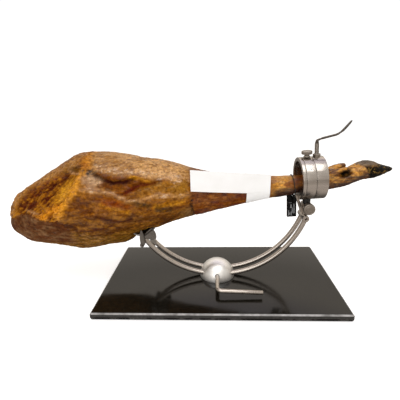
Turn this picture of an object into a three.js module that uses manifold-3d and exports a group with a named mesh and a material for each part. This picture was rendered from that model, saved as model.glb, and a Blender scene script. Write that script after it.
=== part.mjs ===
// Cured ham on a tilting, swivelling holder with a polished stone base.
// Millimetres, +Z up. The origin is the centre of the base slab's underside.
// +X points from the thick end of the ham to the hoof, and -Y is the front.
import * as THREE from 'three';
import { mergeVertices } from 'three/addons/utils/BufferGeometryUtils.js';
import Module from 'manifold-3d';

const wasm = await Module();
wasm.setup();

const FULL_TURN = Math.PI * 2;
const GAP = 0.3;

// Base slab and hub
const SLAB_LENGTH = 487;
const SLAB_DEPTH = 277;
const SLAB_HEIGHT = 15;
const SLAB_BEVEL = 3.5;
const HUB_RADIUS = 38;
const HUB_X = -3;

// The two curved rods, which slide through the hub about the arc's centre
const ARC_CENTRE_X = 0.5;
const ARC_CENTRE_Z = 211.6;
const ARC_RADIUS = 186.8;
const ROD_RADIUS = 5;
const ROD_Y = 13.7;
const ROD_LEFT_ANGLE = -56.7;
const ROD_RIGHT_ANGLE = 72;
const CHANNEL_CLEARANCE = 0.6;

// Hub lever: a bar bent into an L, screwed into the hub's front
const LEVER_RADIUS = 4.3;
const LEVER_Z = 30;
const LEVER_INNER_Y = -19.8;
const LEVER_LEG_Y = -86;
const LEVER_END_X = 86;
const LEVER_END_DROP = 4;
const LEVER_BEND = 8;

// Bar and bracket that carry the ring
const END_BAR_X = 177;
const END_BAR_Z = 154.4;
const END_BAR_RADIUS = 6.5;
const END_BAR_HALF_LENGTH = 22;
const END_BAR_HOLE_RADIUS = 2.6;
const BLOCK_WIDTH = 16;
const BLOCK_DEPTH = 24;
const BLOCK_X = 181;
const BLOCK_BOTTOM = 161.3;
const BLOCK_TOP = 183;
const STRUT_LINE = [[171, 161.5], [178, 161.5], [167, 187], [162, 198.4], [157.5, 198.4], [161.5, 187]];
const STRUT_DEPTH = 9;
const BUSH_RADIUS = 8;
const PIVOT_KNOB_X = 180;
const PIVOT_KNOB_Z = 177;
const PIVOT_KNOB_RADIUS = 11.5;
const PIVOT_HOLE_RADIUS = 3.2;

// Ring round the hock. Its axis rises towards the hoof.
const RING_X = 184;
const RING_Z = 235;
const RING_TILT = 3.5;
const RING_OUTER = 42.5;
const RING_INNER = 34.7;
const RING_SLEEVE = 38.5;
const RING_LEFT = -23.5;
const RING_FLANGE_WIDTH = 6.3;
const RING_COLLAR_RIGHT = 1.4;
const RING_RIGHT = 23.5;
const RING_CHAMFER = 0.8;
const RING_SEGMENTS = 36;
const CLAMP_SCREW_X = 11.8;
const CLAMP_SCREW_RADIUS = 4.3;
const LOCK_KNOB_X = -7;
const SET_SCREW_ANGLE = 35;
const HOCK_REST_LEFT = -25;
const HOCK_REST_LENGTH = 45;

// Ham cross-sections across X: x, centre height, half height, half depth
const HAM_SECTIONS = [
  [-444, 163, 0, 0],
  [-440, 164, 27, 15],
  [-432, 164, 34.5, 25],
  [-415, 164, 49.5, 43],
  [-400, 165, 57, 53],
  [-350, 175.5, 76.5, 70],
  [-300, 187, 95, 76],
  [-278, 191, 100, 78],
  [-250, 193, 98.5, 78],
  [-200, 195, 94, 77],
  [-150, 203.3, 79.3, 72],
  [-100, 209.5, 64.5, 60],
  [-75, 210, 55.5, 53],
  [-50, 208, 50, 47],
  [-25, 208.8, 43.2, 42],
  [0, 210, 38, 37],
  [50, 214.5, 31.5, 29.5],
  [100, 217, 23, 24],
  [150, 220.5, 19.5, 20],
  [172, 225, 16.3, 18],
  [220, 229, 17.4, 18],
  [250, 235, 17.3, 19],
  [290, 250.4, 18.2, 20],
  [303, 250, 16.4, 20],
  [315, 249.5, 11.6, 17],
  [328, 250.5, 7, 11],
  [343, 251.5, 0, 0],
];
const HAM_STATIONS = 66;
const HAM_SIDES = 36;

// Folds on the ham's front: a path of x, z points, how far it reaches and how far it stands out
const HAM_FOLDS = [
  { // rim between the cut end and the body
    path: [[-250, 290], [-248, 272], [-255, 258], [-264, 242], [-281, 222], [-292, 206],
      [-311, 189], [-339, 177], [-360, 174]],
    reach: 10,
    height: 4,
  },
  { // skin edge above the cut end
    path: [[-430, 183], [-406, 203], [-384, 227], [-348, 247], [-302, 267], [-273, 282]],
    reach: 12,
    height: 2,
  },
  { // hollow of the cut end
    path: [[-395, 188], [-377, 199], [-340, 223], [-311, 239], [-280, 260]],
    reach: 22,
    height: -7,
  },
  { // left shoulder of the body
    path: [[-249, 238], [-266, 227], [-284, 213], [-293, 197], [-293, 180]],
    reach: 13,
    height: 4,
  },
  { // pit at the top of the rim
    path: [[-241, 266], [-236, 257]],
    reach: 9,
    height: -7,
  },
  { // deep fold under the upper lobe
    path: [[-227, 258], [-215, 249], [-199, 245], [-182, 246], [-147, 247], [-129, 237],
      [-108, 244]],
    reach: 10,
    height: -9,
  },
  { // ridge below the fold
    path: [[-248, 237], [-208, 232], [-190, 228], [-165, 221], [-138, 215], [-124, 219],
      [-103, 221], [-77, 218]],
    reach: 12,
    height: 4,
  },
  { // upper lobe
    path: [[-210, 272], [-166, 267], [-120, 261], [-85, 253]],
    reach: 16,
    height: 3,
  },
  { // smooth flat at the lower left
    path: [[-380, 158], [-330, 157]],
    reach: 26,
    height: -4,
  },
  { // fold down the belly
    path: [[-273, 169], [-266, 142], [-277, 111]],
    reach: 9,
    height: -3,
  },
  { // crack at the knee
    path: [[-45, 221], [-55, 203], [-52, 185], [-50, 163]],
    reach: 5,
    height: -4,
  },
  { // hollow under the dew claws
    path: [[243, 244], [252, 246]],
    reach: 5,
    height: -6,
  },
];

// Dew claws: centre points and radii of two short horns on top of the foot
const UPPER_CLAW = [
  { centre: [208, 4, 235], radius: 8 },
  { centre: [222, 4, 246], radius: 9 },
  { centre: [236, 4, 254], radius: 7.5 },
  { centre: [250, 5, 259], radius: 4.5 },
  { centre: [253, 5, 260.5], radius: 2.5 },
];
const LOWER_CLAW = [
  { centre: [208, -8, 232], radius: 7 },
  { centre: [222, -9, 241], radius: 8.5 },
  { centre: [240, -10, 250], radius: 6.5 },
  { centre: [256, -9, 255.5], radius: 3.5 },
  { centre: [264, -8, 258.5], radius: 1 },
];

// Cradle under the thick end
const CRADLE_HALF_DEPTH = 33;
const CRADLE_SAG = 12;
const CRADLE_PLATE = 3;
const CRADLE_LINE = [[-178, 132], [-171, 127.5], [-160, 126.5], [-151, 128], [-144, 133], [-135, 140.5]];
const WING_LINE = [[-151, 124.5], [-144, 129.5], [-136, 136.5], [-130, 137.4], [-127, 129], [-127.3, 119.5],
  [-140, 117], [-152, 121]];
const STRAP_LINE = [[-156.8, 140], [-153.2, 133.2], [-151.4, 122], [-151, 112], [-153, 105.5], [-156, 103.6],
  [-159, 106], [-161, 113], [-161.4, 125], [-160.3, 133.2]];
const STRAP_THICKNESS = 3.5;
const CROSS_BAR_X = -158;
const CROSS_BAR_Z = 105;
const CROSS_BAR_RADIUS = 4.6;
const CROSS_BAR_POST = [8, 10, 6.2];
const LINK_LINE = [[-150, 96], [-138, 87.5], [-135.5, 92], [-147.5, 102]];
const LINK_DEPTH = 16.6;

// Label round the shank and tag on a cord loop
const LABEL_LEFT = 56;
const LABEL_RIGHT = 102;
const LABEL_THICKNESS = 0.8;
const FLAG_START = [-52, -50];
const FLAG_YAW = 10.1;
const FLAG_LINE = [[0, 223.8], [110, 213.7], [156.4, 215.7], [156.4, 248], [0, 265.3]];
const TAG_SIZE = [20, 0.8, 49];
const TAG_TOP = [151.4, 5.6, 198.7];
const TAG_TILT = 3.5;
const TAG_HOLE = [153.3, 196.6];
const TAG_HOLE_RADIUS = 1.7;
const CORD_RADIUS = 0.8;
const CORD_CENTRE = [150.2, 0, 219.2];
const CORD_HALF_WIDTH = 22.4;
const CORD_HALF_HEIGHT = 23;
const CORD_LEAN = 8;

const granite = new THREE.MeshStandardMaterial({ color: 0x1b1a19, roughness: 0.15, metalness: 0 });
const polished = new THREE.MeshStandardMaterial({ color: 0xd8d6d2, roughness: 0.06, metalness: 1 });
const brushed = new THREE.MeshStandardMaterial({ color: 0xb3aca2, roughness: 0.32, metalness: 1 });
const blackPlastic = new THREE.MeshStandardMaterial({ color: 0x111110, roughness: 0.5, metalness: 0 });
const curedMeat = new THREE.MeshStandardMaterial({ color: 0x9c6420, roughness: 0.42, metalness: 0 });
const whiteCard = new THREE.MeshStandardMaterial({ color: 0xf0efec, roughness: 0.6, metalness: 0 });
const blackCard = new THREE.MeshStandardMaterial({ color: 0x161617, roughness: 0.5, metalness: 0 });
const blackCord = new THREE.MeshStandardMaterial({ color: 0x0f0f0f, roughness: 0.8, metalness: 0 });

function radians(degrees) {
  return degrees * Math.PI / 180;
}

function signedVolume(positions, triangles) {
  const a = new THREE.Vector3();
  const b = new THREE.Vector3();
  const c = new THREE.Vector3();
  let volume = 0;
  for (let t = 0; t < triangles.length; t += 3) {
    a.fromArray(positions, triangles[t] * 3);
    b.fromArray(positions, triangles[t + 1] * 3);
    c.fromArray(positions, triangles[t + 2] * 3);
    volume += a.dot(b.cross(c)) / 6;
  }
  return volume;
}

// Shared vertices merged, empty triangles dropped and faces turned outward
function closed(geometry) {
  const bare = geometry.clone();
  bare.deleteAttribute('normal');
  bare.deleteAttribute('uv');
  const merged = mergeVertices(bare, 0.001);
  const positions = merged.attributes.position.array;
  const index = merged.index.array;
  const kept = [];
  for (let t = 0; t < index.length; t += 3) {
    const [i, j, k] = [index[t], index[t + 1], index[t + 2]];
    if (i !== j && j !== k && k !== i) kept.push(i, j, k);
  }
  if (signedVolume(positions, kept) < 0) kept.reverse();
  merged.setIndex(kept);
  return merged;
}

function solid(geometry) {
  const body = closed(geometry);
  return new wasm.Manifold(new wasm.Mesh({
    numProp: 3,
    vertProperties: new Float32Array(body.attributes.position.array),
    triVerts: new Uint32Array(body.index.array),
  }));
}

function geometryOf(manifold) {
  const mesh = manifold.getMesh();
  const geometry = new THREE.BufferGeometry();
  geometry.setAttribute('position', new THREE.BufferAttribute(mesh.vertProperties, 3));
  geometry.setIndex(new THREE.BufferAttribute(mesh.triVerts, 1));
  return geometry;
}

function named(name, shape, material) {
  const geometry = shape instanceof THREE.BufferGeometry ? closed(shape) : geometryOf(shape);
  geometry.computeVertexNormals();
  const mesh = new THREE.Mesh(geometry, material);
  mesh.name = name;
  return mesh;
}

// A body through rings of points, closed at both ends by a fan to the ring's middle
function loft(rings) {
  const sides = rings[0].length;
  const positions = [];
  const index = [];
  for (const ring of rings) {
    for (const point of ring) positions.push(point.x, point.y, point.z);
  }
  for (let r = 0; r + 1 < rings.length; r += 1) {
    for (let s = 0; s < sides; s += 1) {
      const next = (s + 1) % sides;
      const a = r * sides + s;
      const b = r * sides + next;
      index.push(a, b, b + sides, a, b + sides, a + sides);
    }
  }
  for (const [r, flip] of [[0, true], [rings.length - 1, false]]) {
    const middle = new THREE.Vector3();
    for (const point of rings[r]) middle.addScaledVector(point, 1 / sides);
    const centre = positions.length / 3;
    positions.push(middle.x, middle.y, middle.z);
    for (let s = 0; s < sides; s += 1) {
      const a = r * sides + s;
      const b = r * sides + (s + 1) % sides;
      if (flip) index.push(b, a, centre);
      else index.push(a, b, centre);
    }
  }
  const geometry = new THREE.BufferGeometry();
  geometry.setAttribute('position', new THREE.Float32BufferAttribute(positions, 3));
  geometry.setIndex(index);
  return geometry;
}

// A body of revolution about X from [radius, x] points
function turned(profile, segments) {
  const points = profile.map(([radius, along]) => new THREE.Vector2(radius, along));
  return new THREE.LatheGeometry(points, segments).rotateZ(-Math.PI / 2);
}

function circle(radius) {
  const shape = new THREE.Shape();
  shape.absarc(0, 0, radius, 0, FULL_TURN);
  return shape;
}

function roundBar(path, radius, steps, quarterSegments) {
  return new THREE.ExtrudeGeometry(circle(radius), {
    steps,
    curveSegments: quarterSegments,
    bevelEnabled: false,
    extrudePath: path,
  });
}

function polygonPlate(points, thickness) {
  const shape = new THREE.Shape(points.map(([x, y]) => new THREE.Vector2(x, y)));
  return new THREE.ExtrudeGeometry(shape, { depth: thickness, bevelEnabled: false });
}

// A plate drawn in x, z and standing upright, its front face at frontY
function uprightPlate(points, frontY, thickness) {
  return polygonPlate(points, thickness).rotateX(Math.PI / 2).translate(0, frontY + thickness, 0);
}

// Value of one column of the section table, with smooth slopes that never overshoot
function alongHam(column, x, power) {
  const rows = HAM_SECTIONS;
  const value = (i) => rows[i][column] ** power;
  const slope = (i) => (value(i + 1) - value(i)) / (rows[i + 1][0] - rows[i][0]);
  let i = 0;
  while (i < rows.length - 2 && x > rows[i + 1][0]) i += 1;
  const tangent = (k) => {
    if (k === 0) return slope(0);
    if (k === rows.length - 1) return slope(k - 1);
    const before = slope(k - 1);
    const after = slope(k);
    return before * after <= 0 ? 0 : 2 * before * after / (before + after);
  };
  const span = rows[i + 1][0] - rows[i][0];
  const t = THREE.MathUtils.clamp((x - rows[i][0]) / span, 0, 1);
  const t2 = t * t;
  const t3 = t2 * t;
  const result = (2 * t3 - 3 * t2 + 1) * value(i) + (t3 - 2 * t2 + t) * span * tangent(i)
    + (3 * t2 - 2 * t3) * value(i + 1) + (t3 - t2) * span * tangent(i + 1);
  return Math.max(result, 0) ** (1 / power);
}

function distanceToPath(x, z, path) {
  let nearest = Infinity;
  for (let i = 0; i + 1 < path.length; i += 1) {
    const [x0, z0] = path[i];
    const [x1, z1] = path[i + 1];
    const lengthSquared = (x1 - x0) ** 2 + (z1 - z0) ** 2;
    const t = THREE.MathUtils.clamp(((x - x0) * (x1 - x0) + (z - z0) * (z1 - z0)) / lengthSquared, 0, 1);
    nearest = Math.min(nearest, Math.hypot(x - x0 - t * (x1 - x0), z - z0 - t * (z1 - z0)));
  }
  return nearest;
}

// Folds on the front, and gentle waves over the body that die out at the label
function hamRelief(x, z, frontness, angle) {
  let relief = 0;
  for (const fold of HAM_FOLDS) {
    const d = distanceToPath(x, z, fold.path) / fold.reach;
    relief += fold.height * Math.exp(-d * d) * frontness;
  }
  const body = THREE.MathUtils.smoothstep(-x, 70, 160);
  const rear = 1 - frontness;
  relief += body * (1.2 * Math.sin(x / 21 + 3 * angle) + rear * 2.5 * Math.sin(x / 47 - 2 * angle));
  return relief;
}

// The underside is narrower than the top near the cradle, which presses a dent into it, and squarer at the cut end
function hamPoint(x, angle, grow) {
  const centreZ = alongHam(1, x, 1);
  const halfHeight = alongHam(2, x, 2);
  const halfDepth = alongHam(3, x, 2);
  const sideways = -Math.sin(angle);
  const upward = Math.cos(angle);
  const keel = upward < 0 ? 0.25 * THREE.MathUtils.smoothstep(x, -260, -190)
    * (1 - THREE.MathUtils.smoothstep(x, -110, -60)) : 0;
  const square = upward < 0 ? 0.4 * THREE.MathUtils.smoothstep(-x, 412, 436) : 0;
  const sidePower = 1 + keel - square;
  const upPower = 1 + keel * 0.3 - square;
  let y = halfDepth * Math.sign(sideways) * Math.abs(sideways) ** sidePower;
  let z = centreZ + halfHeight * (1 + 0.04 * keel) * Math.sign(upward) * Math.abs(upward) ** upPower;
  const frontness = THREE.MathUtils.smoothstep(-sideways, -0.15, 0.45);
  const length = Math.hypot(y, z - centreZ) || 1;
  const size = Math.min(halfHeight, halfDepth);
  const room = THREE.MathUtils.clamp(size / 25, 0, 1);
  const push = grow + room * hamRelief(x, z, frontness, angle);
  y += push * y / length;
  z += push * (z - centreZ) / length;
  const overCradle = THREE.MathUtils.smoothstep(x, -188, -174) * THREE.MathUtils.smoothstep(-x, 124, 140);
  const dent = overCradle * Math.exp(-((y / 42) ** 2));
  z += 9 * dent * THREE.MathUtils.smoothstep(centreZ - z, 30, 60);
  return new THREE.Vector3(x, y, z);
}

function hamLoft(grow) {
  const first = HAM_SECTIONS[0][0];
  const last = HAM_SECTIONS[HAM_SECTIONS.length - 1][0];
  const rings = [];
  for (let i = 0; i <= HAM_STATIONS; i += 1) {
    const even = i / HAM_STATIONS;
    const rounded = (1 - Math.cos(Math.PI * even)) / 2;
    const x = THREE.MathUtils.lerp(first + 0.5, last - 0.5, 0.45 * rounded + 0.55 * even);
    const ring = [];
    for (let s = 0; s < HAM_SIDES; s += 1) ring.push(hamPoint(x, s / HAM_SIDES * FULL_TURN, grow));
    rings.push(ring);
  }
  return solid(loft(rings));
}

function claw(stops, grow) {
  const sides = 12;
  const curve = new THREE.CatmullRomCurve3(stops.map((stop) => new THREE.Vector3(...stop.centre)));
  const rings = [];
  const steps = stops.length * 2;
  for (let i = 0; i <= steps; i += 1) {
    const t = i / steps;
    const along = t * (stops.length - 1);
    const k = Math.min(Math.floor(along), stops.length - 2);
    const radius = grow + THREE.MathUtils.lerp(stops[k].radius, stops[k + 1].radius, along - k);
    const centre = curve.getPoint(t);
    const tangent = curve.getTangent(t);
    const side = new THREE.Vector3(0, 1, 0).cross(tangent).normalize();
    const up = tangent.clone().cross(side).normalize();
    const ring = [];
    for (let s = 0; s < sides; s += 1) {
      const angle = s / sides * FULL_TURN;
      ring.push(centre.clone()
        .addScaledVector(side, radius * Math.cos(angle))
        .addScaledVector(up, radius * 0.85 * Math.sin(angle)));
    }
    rings.push(ring);
  }
  return solid(loft(rings));
}

function hamSolid(grow) {
  return hamLoft(grow).add(claw(UPPER_CLAW, grow)).add(claw(LOWER_CLAW, grow));
}

class ArcInFrontPlane extends THREE.Curve {
  constructor(y, startDegrees, endDegrees) {
    super();
    this.y = y;
    this.start = radians(startDegrees);
    this.end = radians(endDegrees);
  }

  getPoint(t, target = new THREE.Vector3()) {
    const angle = THREE.MathUtils.lerp(this.start, this.end, t);
    const x = ARC_CENTRE_X + ARC_RADIUS * Math.sin(angle);
    return target.set(x, this.y, ARC_CENTRE_Z - ARC_RADIUS * Math.cos(angle));
  }
}

function cylinderAlongY(radius, fromY, toY, x, z, segments) {
  return new THREE.CylinderGeometry(radius, radius, toY - fromY, segments)
    .translate(x, (fromY + toY) / 2, z);
}

function rod(y) {
  const path = new ArcInFrontPlane(y, ROD_LEFT_ANGLE, ROD_RIGHT_ANGLE);
  const bar = cylinderAlongY(END_BAR_RADIUS + GAP, -40, 40, END_BAR_X, END_BAR_Z, 24);
  return solid(roundBar(path, ROD_RADIUS, 26, 5)).subtract(solid(bar));
}

function baseSlab() {
  const halfLength = SLAB_LENGTH / 2 - SLAB_BEVEL;
  const halfDepth = SLAB_DEPTH / 2 - SLAB_BEVEL;
  const outline = new THREE.Shape([
    new THREE.Vector2(-halfLength, -halfDepth),
    new THREE.Vector2(halfLength, -halfDepth),
    new THREE.Vector2(halfLength, halfDepth),
    new THREE.Vector2(-halfLength, halfDepth),
  ]);
  return new THREE.ExtrudeGeometry(outline, {
    depth: SLAB_HEIGHT - 2 * SLAB_BEVEL,
    bevelThickness: SLAB_BEVEL,
    bevelSize: SLAB_BEVEL,
    bevelSegments: 1,
  }).translate(0, 0, SLAB_BEVEL);
}

// Half ball with a channel for each rod and a hole for the lever
function hubDome() {
  const profile = [new THREE.Vector2(0, 0)];
  const arcSteps = 9;
  for (let i = 0; i <= arcSteps; i += 1) {
    const angle = Math.PI / 2 * i / arcSteps;
    profile.push(new THREE.Vector2(HUB_RADIUS * Math.cos(angle), HUB_RADIUS * Math.sin(angle)));
  }
  profile[profile.length - 1].x = 0;
  const half = new THREE.LatheGeometry(profile, 28).rotateX(Math.PI / 2).translate(HUB_X, 0, SLAB_HEIGHT);
  let hub = solid(half);
  for (const y of [-ROD_Y, ROD_Y]) {
    const channel = new ArcInFrontPlane(y, -16, 16);
    hub = hub.subtract(solid(roundBar(channel, ROD_RADIUS + CHANNEL_CLEARANCE, 4, 5)));
  }
  const hole = cylinderAlongY(LEVER_RADIUS + CHANNEL_CLEARANCE, -HUB_RADIUS - 2, -ROD_Y, HUB_X, LEVER_Z, 18);
  return hub.subtract(solid(hole));
}

function hubLever() {
  const path = new THREE.CurvePath();
  const start = new THREE.Vector3(HUB_X, LEVER_INNER_Y, LEVER_Z);
  const beforeBend = new THREE.Vector3(HUB_X, LEVER_LEG_Y + LEVER_BEND, LEVER_Z);
  const corner = new THREE.Vector3(HUB_X, LEVER_LEG_Y, LEVER_Z);
  const end = new THREE.Vector3(LEVER_END_X, LEVER_LEG_Y, LEVER_Z - LEVER_END_DROP);
  const afterBend = corner.clone().lerp(end, LEVER_BEND / (LEVER_END_X - HUB_X));
  path.add(new THREE.LineCurve3(start, beforeBend));
  path.add(new THREE.QuadraticBezierCurve3(beforeBend, corner, afterBend));
  path.add(new THREE.LineCurve3(afterBend, end));
  return roundBar(path, LEVER_RADIUS, 20, 5);
}

function endBar() {
  const bar = cylinderAlongY(END_BAR_RADIUS, -END_BAR_HALF_LENGTH, END_BAR_HALF_LENGTH, END_BAR_X, END_BAR_Z, 24);
  const hole = cylinderAlongY(END_BAR_HOLE_RADIUS, -END_BAR_HALF_LENGTH - 1, -END_BAR_HALF_LENGTH + 9,
    END_BAR_X, END_BAR_Z, 14);
  return solid(bar).subtract(solid(hole));
}

// Block under the ring, with the knob's hole, and the strut that reaches up to the hock rest
function ringBracket() {
  const height = BLOCK_TOP - BLOCK_BOTTOM;
  const block = new THREE.BoxGeometry(BLOCK_WIDTH, BLOCK_DEPTH, height)
    .translate(BLOCK_X, 0, BLOCK_BOTTOM + height / 2);
  const strut = uprightPlate(STRUT_LINE, -STRUT_DEPTH / 2, STRUT_DEPTH);
  const hole = cylinderAlongY(PIVOT_HOLE_RADIUS, -BLOCK_DEPTH, 0, PIVOT_KNOB_X, PIVOT_KNOB_Z, 16);
  return solid(block).add(solid(strut)).subtract(solid(hole))
    .subtract(solid(ringSpace(RING_OUTER + GAP, RING_LEFT - GAP)));
}

// A cylinder about the ring's axis from the given place on it to past the ring's right end
function ringSpace(radius, from) {
  const outline = [[0, from], [radius, from], [radius, 60], [0, 60]];
  return turned(outline, RING_SEGMENTS).rotateY(-radians(RING_TILT)).translate(RING_X, 0, RING_Z);
}

function swivelBush() {
  const bottom = BLOCK_TOP + GAP;
  const bush = new THREE.CylinderGeometry(BUSH_RADIUS, BUSH_RADIUS, 14, 24)
    .rotateX(Math.PI / 2).translate(BLOCK_X, 0, bottom + 7);
  return solid(bush).subtract(solid(ringSpace(RING_OUTER + GAP, -60)));
}

function pivotKnob() {
  const profile = [
    [0, -8], [2.9, -8], [2.9, -19], [6, -19.5], [10.5, -19.5], [PIVOT_KNOB_RADIUS, -20.5],
    [PIVOT_KNOB_RADIUS, -28.5], [10.5, -29.5], [0, -29.5],
  ];
  const points = profile.map(([radius, along]) => new THREE.Vector2(radius, along));
  return new THREE.LatheGeometry(points, 22).translate(PIVOT_KNOB_X, 0, PIVOT_KNOB_Z);
}

function ringFlange() {
  const right = RING_LEFT + RING_FLANGE_WIDTH;
  return turned([
    [RING_INNER, RING_LEFT], [RING_OUTER - RING_CHAMFER, RING_LEFT], [RING_OUTER, RING_LEFT + RING_CHAMFER],
    [RING_OUTER, right - RING_CHAMFER / 2], [RING_OUTER - RING_CHAMFER / 2, right], [RING_INNER, right],
    [RING_INNER, RING_LEFT],
  ], RING_SEGMENTS);
}

function holeDownward(x, radius, fromZ, toZ) {
  return new THREE.CylinderGeometry(radius, radius, toZ - fromZ, 18)
    .rotateX(Math.PI / 2).translate(x, 0, (fromZ + toZ) / 2);
}

// A cylinder that points from the ring's axis to the front, at the given angle above level
function frontHole(x, radius, from, to, segments, angle) {
  return new THREE.CylinderGeometry(radius, radius, to - from, segments)
    .translate(0, -(from + to) / 2, 0).rotateX(-radians(angle)).translate(x, 0, 0);
}

function ringCollar() {
  const left = RING_LEFT + RING_FLANGE_WIDTH + GAP;
  const inner = RING_SLEEVE + 0.4;
  const edge = RING_OUTER - RING_CHAMFER / 2;
  const band = turned([
    [inner, left], [edge, left], [RING_OUTER, left + RING_CHAMFER / 2],
    [RING_OUTER, RING_COLLAR_RIGHT - RING_CHAMFER / 2], [edge, RING_COLLAR_RIGHT],
    [inner, RING_COLLAR_RIGHT], [inner, left],
  ], RING_SEGMENTS);
  return solid(band)
    .subtract(solid(holeDownward(LOCK_KNOB_X, 3.4, 30, 50)))
    .subtract(solid(frontHole(LOCK_KNOB_X, 3.3, 30, 50, 18, SET_SCREW_ANGLE)));
}

function ringBody() {
  const left = RING_LEFT + RING_FLANGE_WIDTH + GAP;
  const bandLeft = RING_COLLAR_RIGHT + GAP;
  const edge = RING_OUTER - RING_CHAMFER / 2;
  const body = turned([
    [RING_INNER, left], [RING_SLEEVE, left], [RING_SLEEVE, bandLeft], [edge, bandLeft],
    [RING_OUTER, bandLeft + RING_CHAMFER / 2], [RING_OUTER, RING_RIGHT - RING_CHAMFER],
    [RING_OUTER - RING_CHAMFER, RING_RIGHT], [RING_INNER, RING_RIGHT], [RING_INNER, left],
  ], RING_SEGMENTS);
  return solid(body).subtract(solid(holeDownward(CLAMP_SCREW_X, CLAMP_SCREW_RADIUS + 0.4, 20, 60)));
}

function setScrew() {
  const body = frontHole(LOCK_KNOB_X, 3, RING_SLEEVE + 0.7, RING_OUTER - 0.4, 18, SET_SCREW_ANGLE);
  const socket = frontHole(LOCK_KNOB_X, 1.5, RING_OUTER - 2.2, RING_OUTER + 1, 6, SET_SCREW_ANGLE);
  return solid(body).subtract(solid(socket));
}

// A body of revolution about Z from [radius, z] points, standing at x on the ring
function turnedUpright(profile, x, segments) {
  const points = profile.map(([radius, along]) => new THREE.Vector2(radius, along));
  return new THREE.LatheGeometry(points, segments).rotateX(Math.PI / 2).translate(x, 0, 0);
}

function lockKnob() {
  return turnedUpright([
    [0, 39.2], [3, 39.2], [3, 43.1], [6.4, 43.1], [4.4, 47.6], [9.2, 47.9], [10.2, 48.9], [10.2, 53.8],
    [9.2, 54.8], [0, 55.2],
  ], LOCK_KNOB_X, 20);
}

function screwNut() {
  const nut = new THREE.CylinderGeometry(7.4, 7.4, 6.5, 6)
    .rotateX(Math.PI / 2).translate(CLAMP_SCREW_X, 0, 44.6);
  const body = turned([[0, -60], [RING_OUTER + GAP, -60], [RING_OUTER + GAP, 60], [0, 60]], RING_SEGMENTS);
  return solid(nut)
    .subtract(solid(body))
    .subtract(solid(holeDownward(CLAMP_SCREW_X, CLAMP_SCREW_RADIUS + 0.4, 20, 60)));
}

// Threaded shank with a handle bent out of flattened bar
function clampScrew() {
  const shank = turnedUpright([
    [0, 9.2], [3.4, 9.2], [CLAMP_SCREW_RADIUS, 10.4], [CLAMP_SCREW_RADIUS, 67], [3.6, 68.5], [3.2, 71], [0, 71],
  ], CLAMP_SCREW_X, 14);
  const stops = [
    { at: [11.8, 69], wide: 3.0, thick: 3.0 },
    { at: [12.2, 73], wide: 2.9, thick: 2.8 },
    { at: [19.7, 76], wide: 2.6, thick: 2.1 },
    { at: [34, 79], wide: 2.8, thick: 1.8 },
    { at: [48.5, 81.7], wide: 3.0, thick: 1.7 },
    { at: [60.2, 88.9], wide: 3.0, thick: 1.7 },
    { at: [68, 97], wide: 2.8, thick: 1.8 },
    { at: [75.3, 105.5], wide: 2.0, thick: 1.2 },
  ];
  const curve = new THREE.CatmullRomCurve3(stops.map(({ at }) => new THREE.Vector3(at[0], 0, at[1])));
  const steps = 14;
  const sides = 8;
  const across = new THREE.Vector3(0, 1, 0);
  const rings = [];
  for (let i = 0; i <= steps; i += 1) {
    const t = i / steps;
    const along = t * (stops.length - 1);
    const k = Math.min(Math.floor(along), stops.length - 2);
    const wide = THREE.MathUtils.lerp(stops[k].wide, stops[k + 1].wide, along - k);
    const thick = THREE.MathUtils.lerp(stops[k].thick, stops[k + 1].thick, along - k);
    const centre = curve.getPoint(t);
    const up = curve.getTangent(t).cross(across).normalize();
    const ring = [];
    for (let s = 0; s < sides; s += 1) {
      const angle = s / sides * FULL_TURN;
      ring.push(centre.clone()
        .addScaledVector(across, wide * Math.cos(angle))
        .addScaledVector(up, thick * Math.sin(angle)));
    }
    rings.push(ring);
  }
  return solid(shank).add(solid(loft(rings)));
}

// Trough under the hock inside the ring; its left end sticks out of the ring
function hockRest() {
  const outer = RING_INNER - GAP;
  const spread = radians(56);
  const outline = [];
  for (let i = 0; i <= 14; i += 1) {
    const angle = THREE.MathUtils.lerp(-spread, spread, i / 14);
    outline.push([outer * Math.sin(angle), -outer * Math.cos(angle)]);
  }
  const block = polygonPlate(outline, HOCK_REST_LENGTH)
    .rotateX(Math.PI / 2).rotateZ(Math.PI / 2).translate(HOCK_REST_LEFT, 0, 0)
    .rotateY(-radians(RING_TILT)).translate(RING_X, 0, RING_Z);
  return solid(block).subtract(hamSolid(0.5));
}

// Height of the cradle's plate below its front edge, at y across the cradle
function cradleDrop(y) {
  return CRADLE_SAG * (1 - (y / CRADLE_HALF_DEPTH) ** 2);
}

function cradlePlate() {
  const rows = 10;
  const rings = [];
  for (let r = 0; r <= rows; r += 1) {
    const y = THREE.MathUtils.lerp(-CRADLE_HALF_DEPTH, CRADLE_HALF_DEPTH, r / rows);
    const drop = cradleDrop(y);
    const top = CRADLE_LINE.map(([x, z]) => new THREE.Vector3(x, y, z - drop));
    const under = CRADLE_LINE.map(([x, z]) => new THREE.Vector3(x, y, z - drop - CRADLE_PLATE));
    rings.push([...top, ...under.reverse()]);
  }
  return solid(loft(rings)).subtract(hamSolid(0.4));
}

// Side wing that closes the plate's right end, at the front or the back
function cradleWing(y) {
  return solid(uprightPlate(WING_LINE, y, CRADLE_PLATE)).subtract(hamSolid(0.4));
}

function strap(y) {
  return solid(uprightPlate(STRAP_LINE, y, STRAP_THICKNESS)).subtract(hamSolid(0.4));
}

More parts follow.
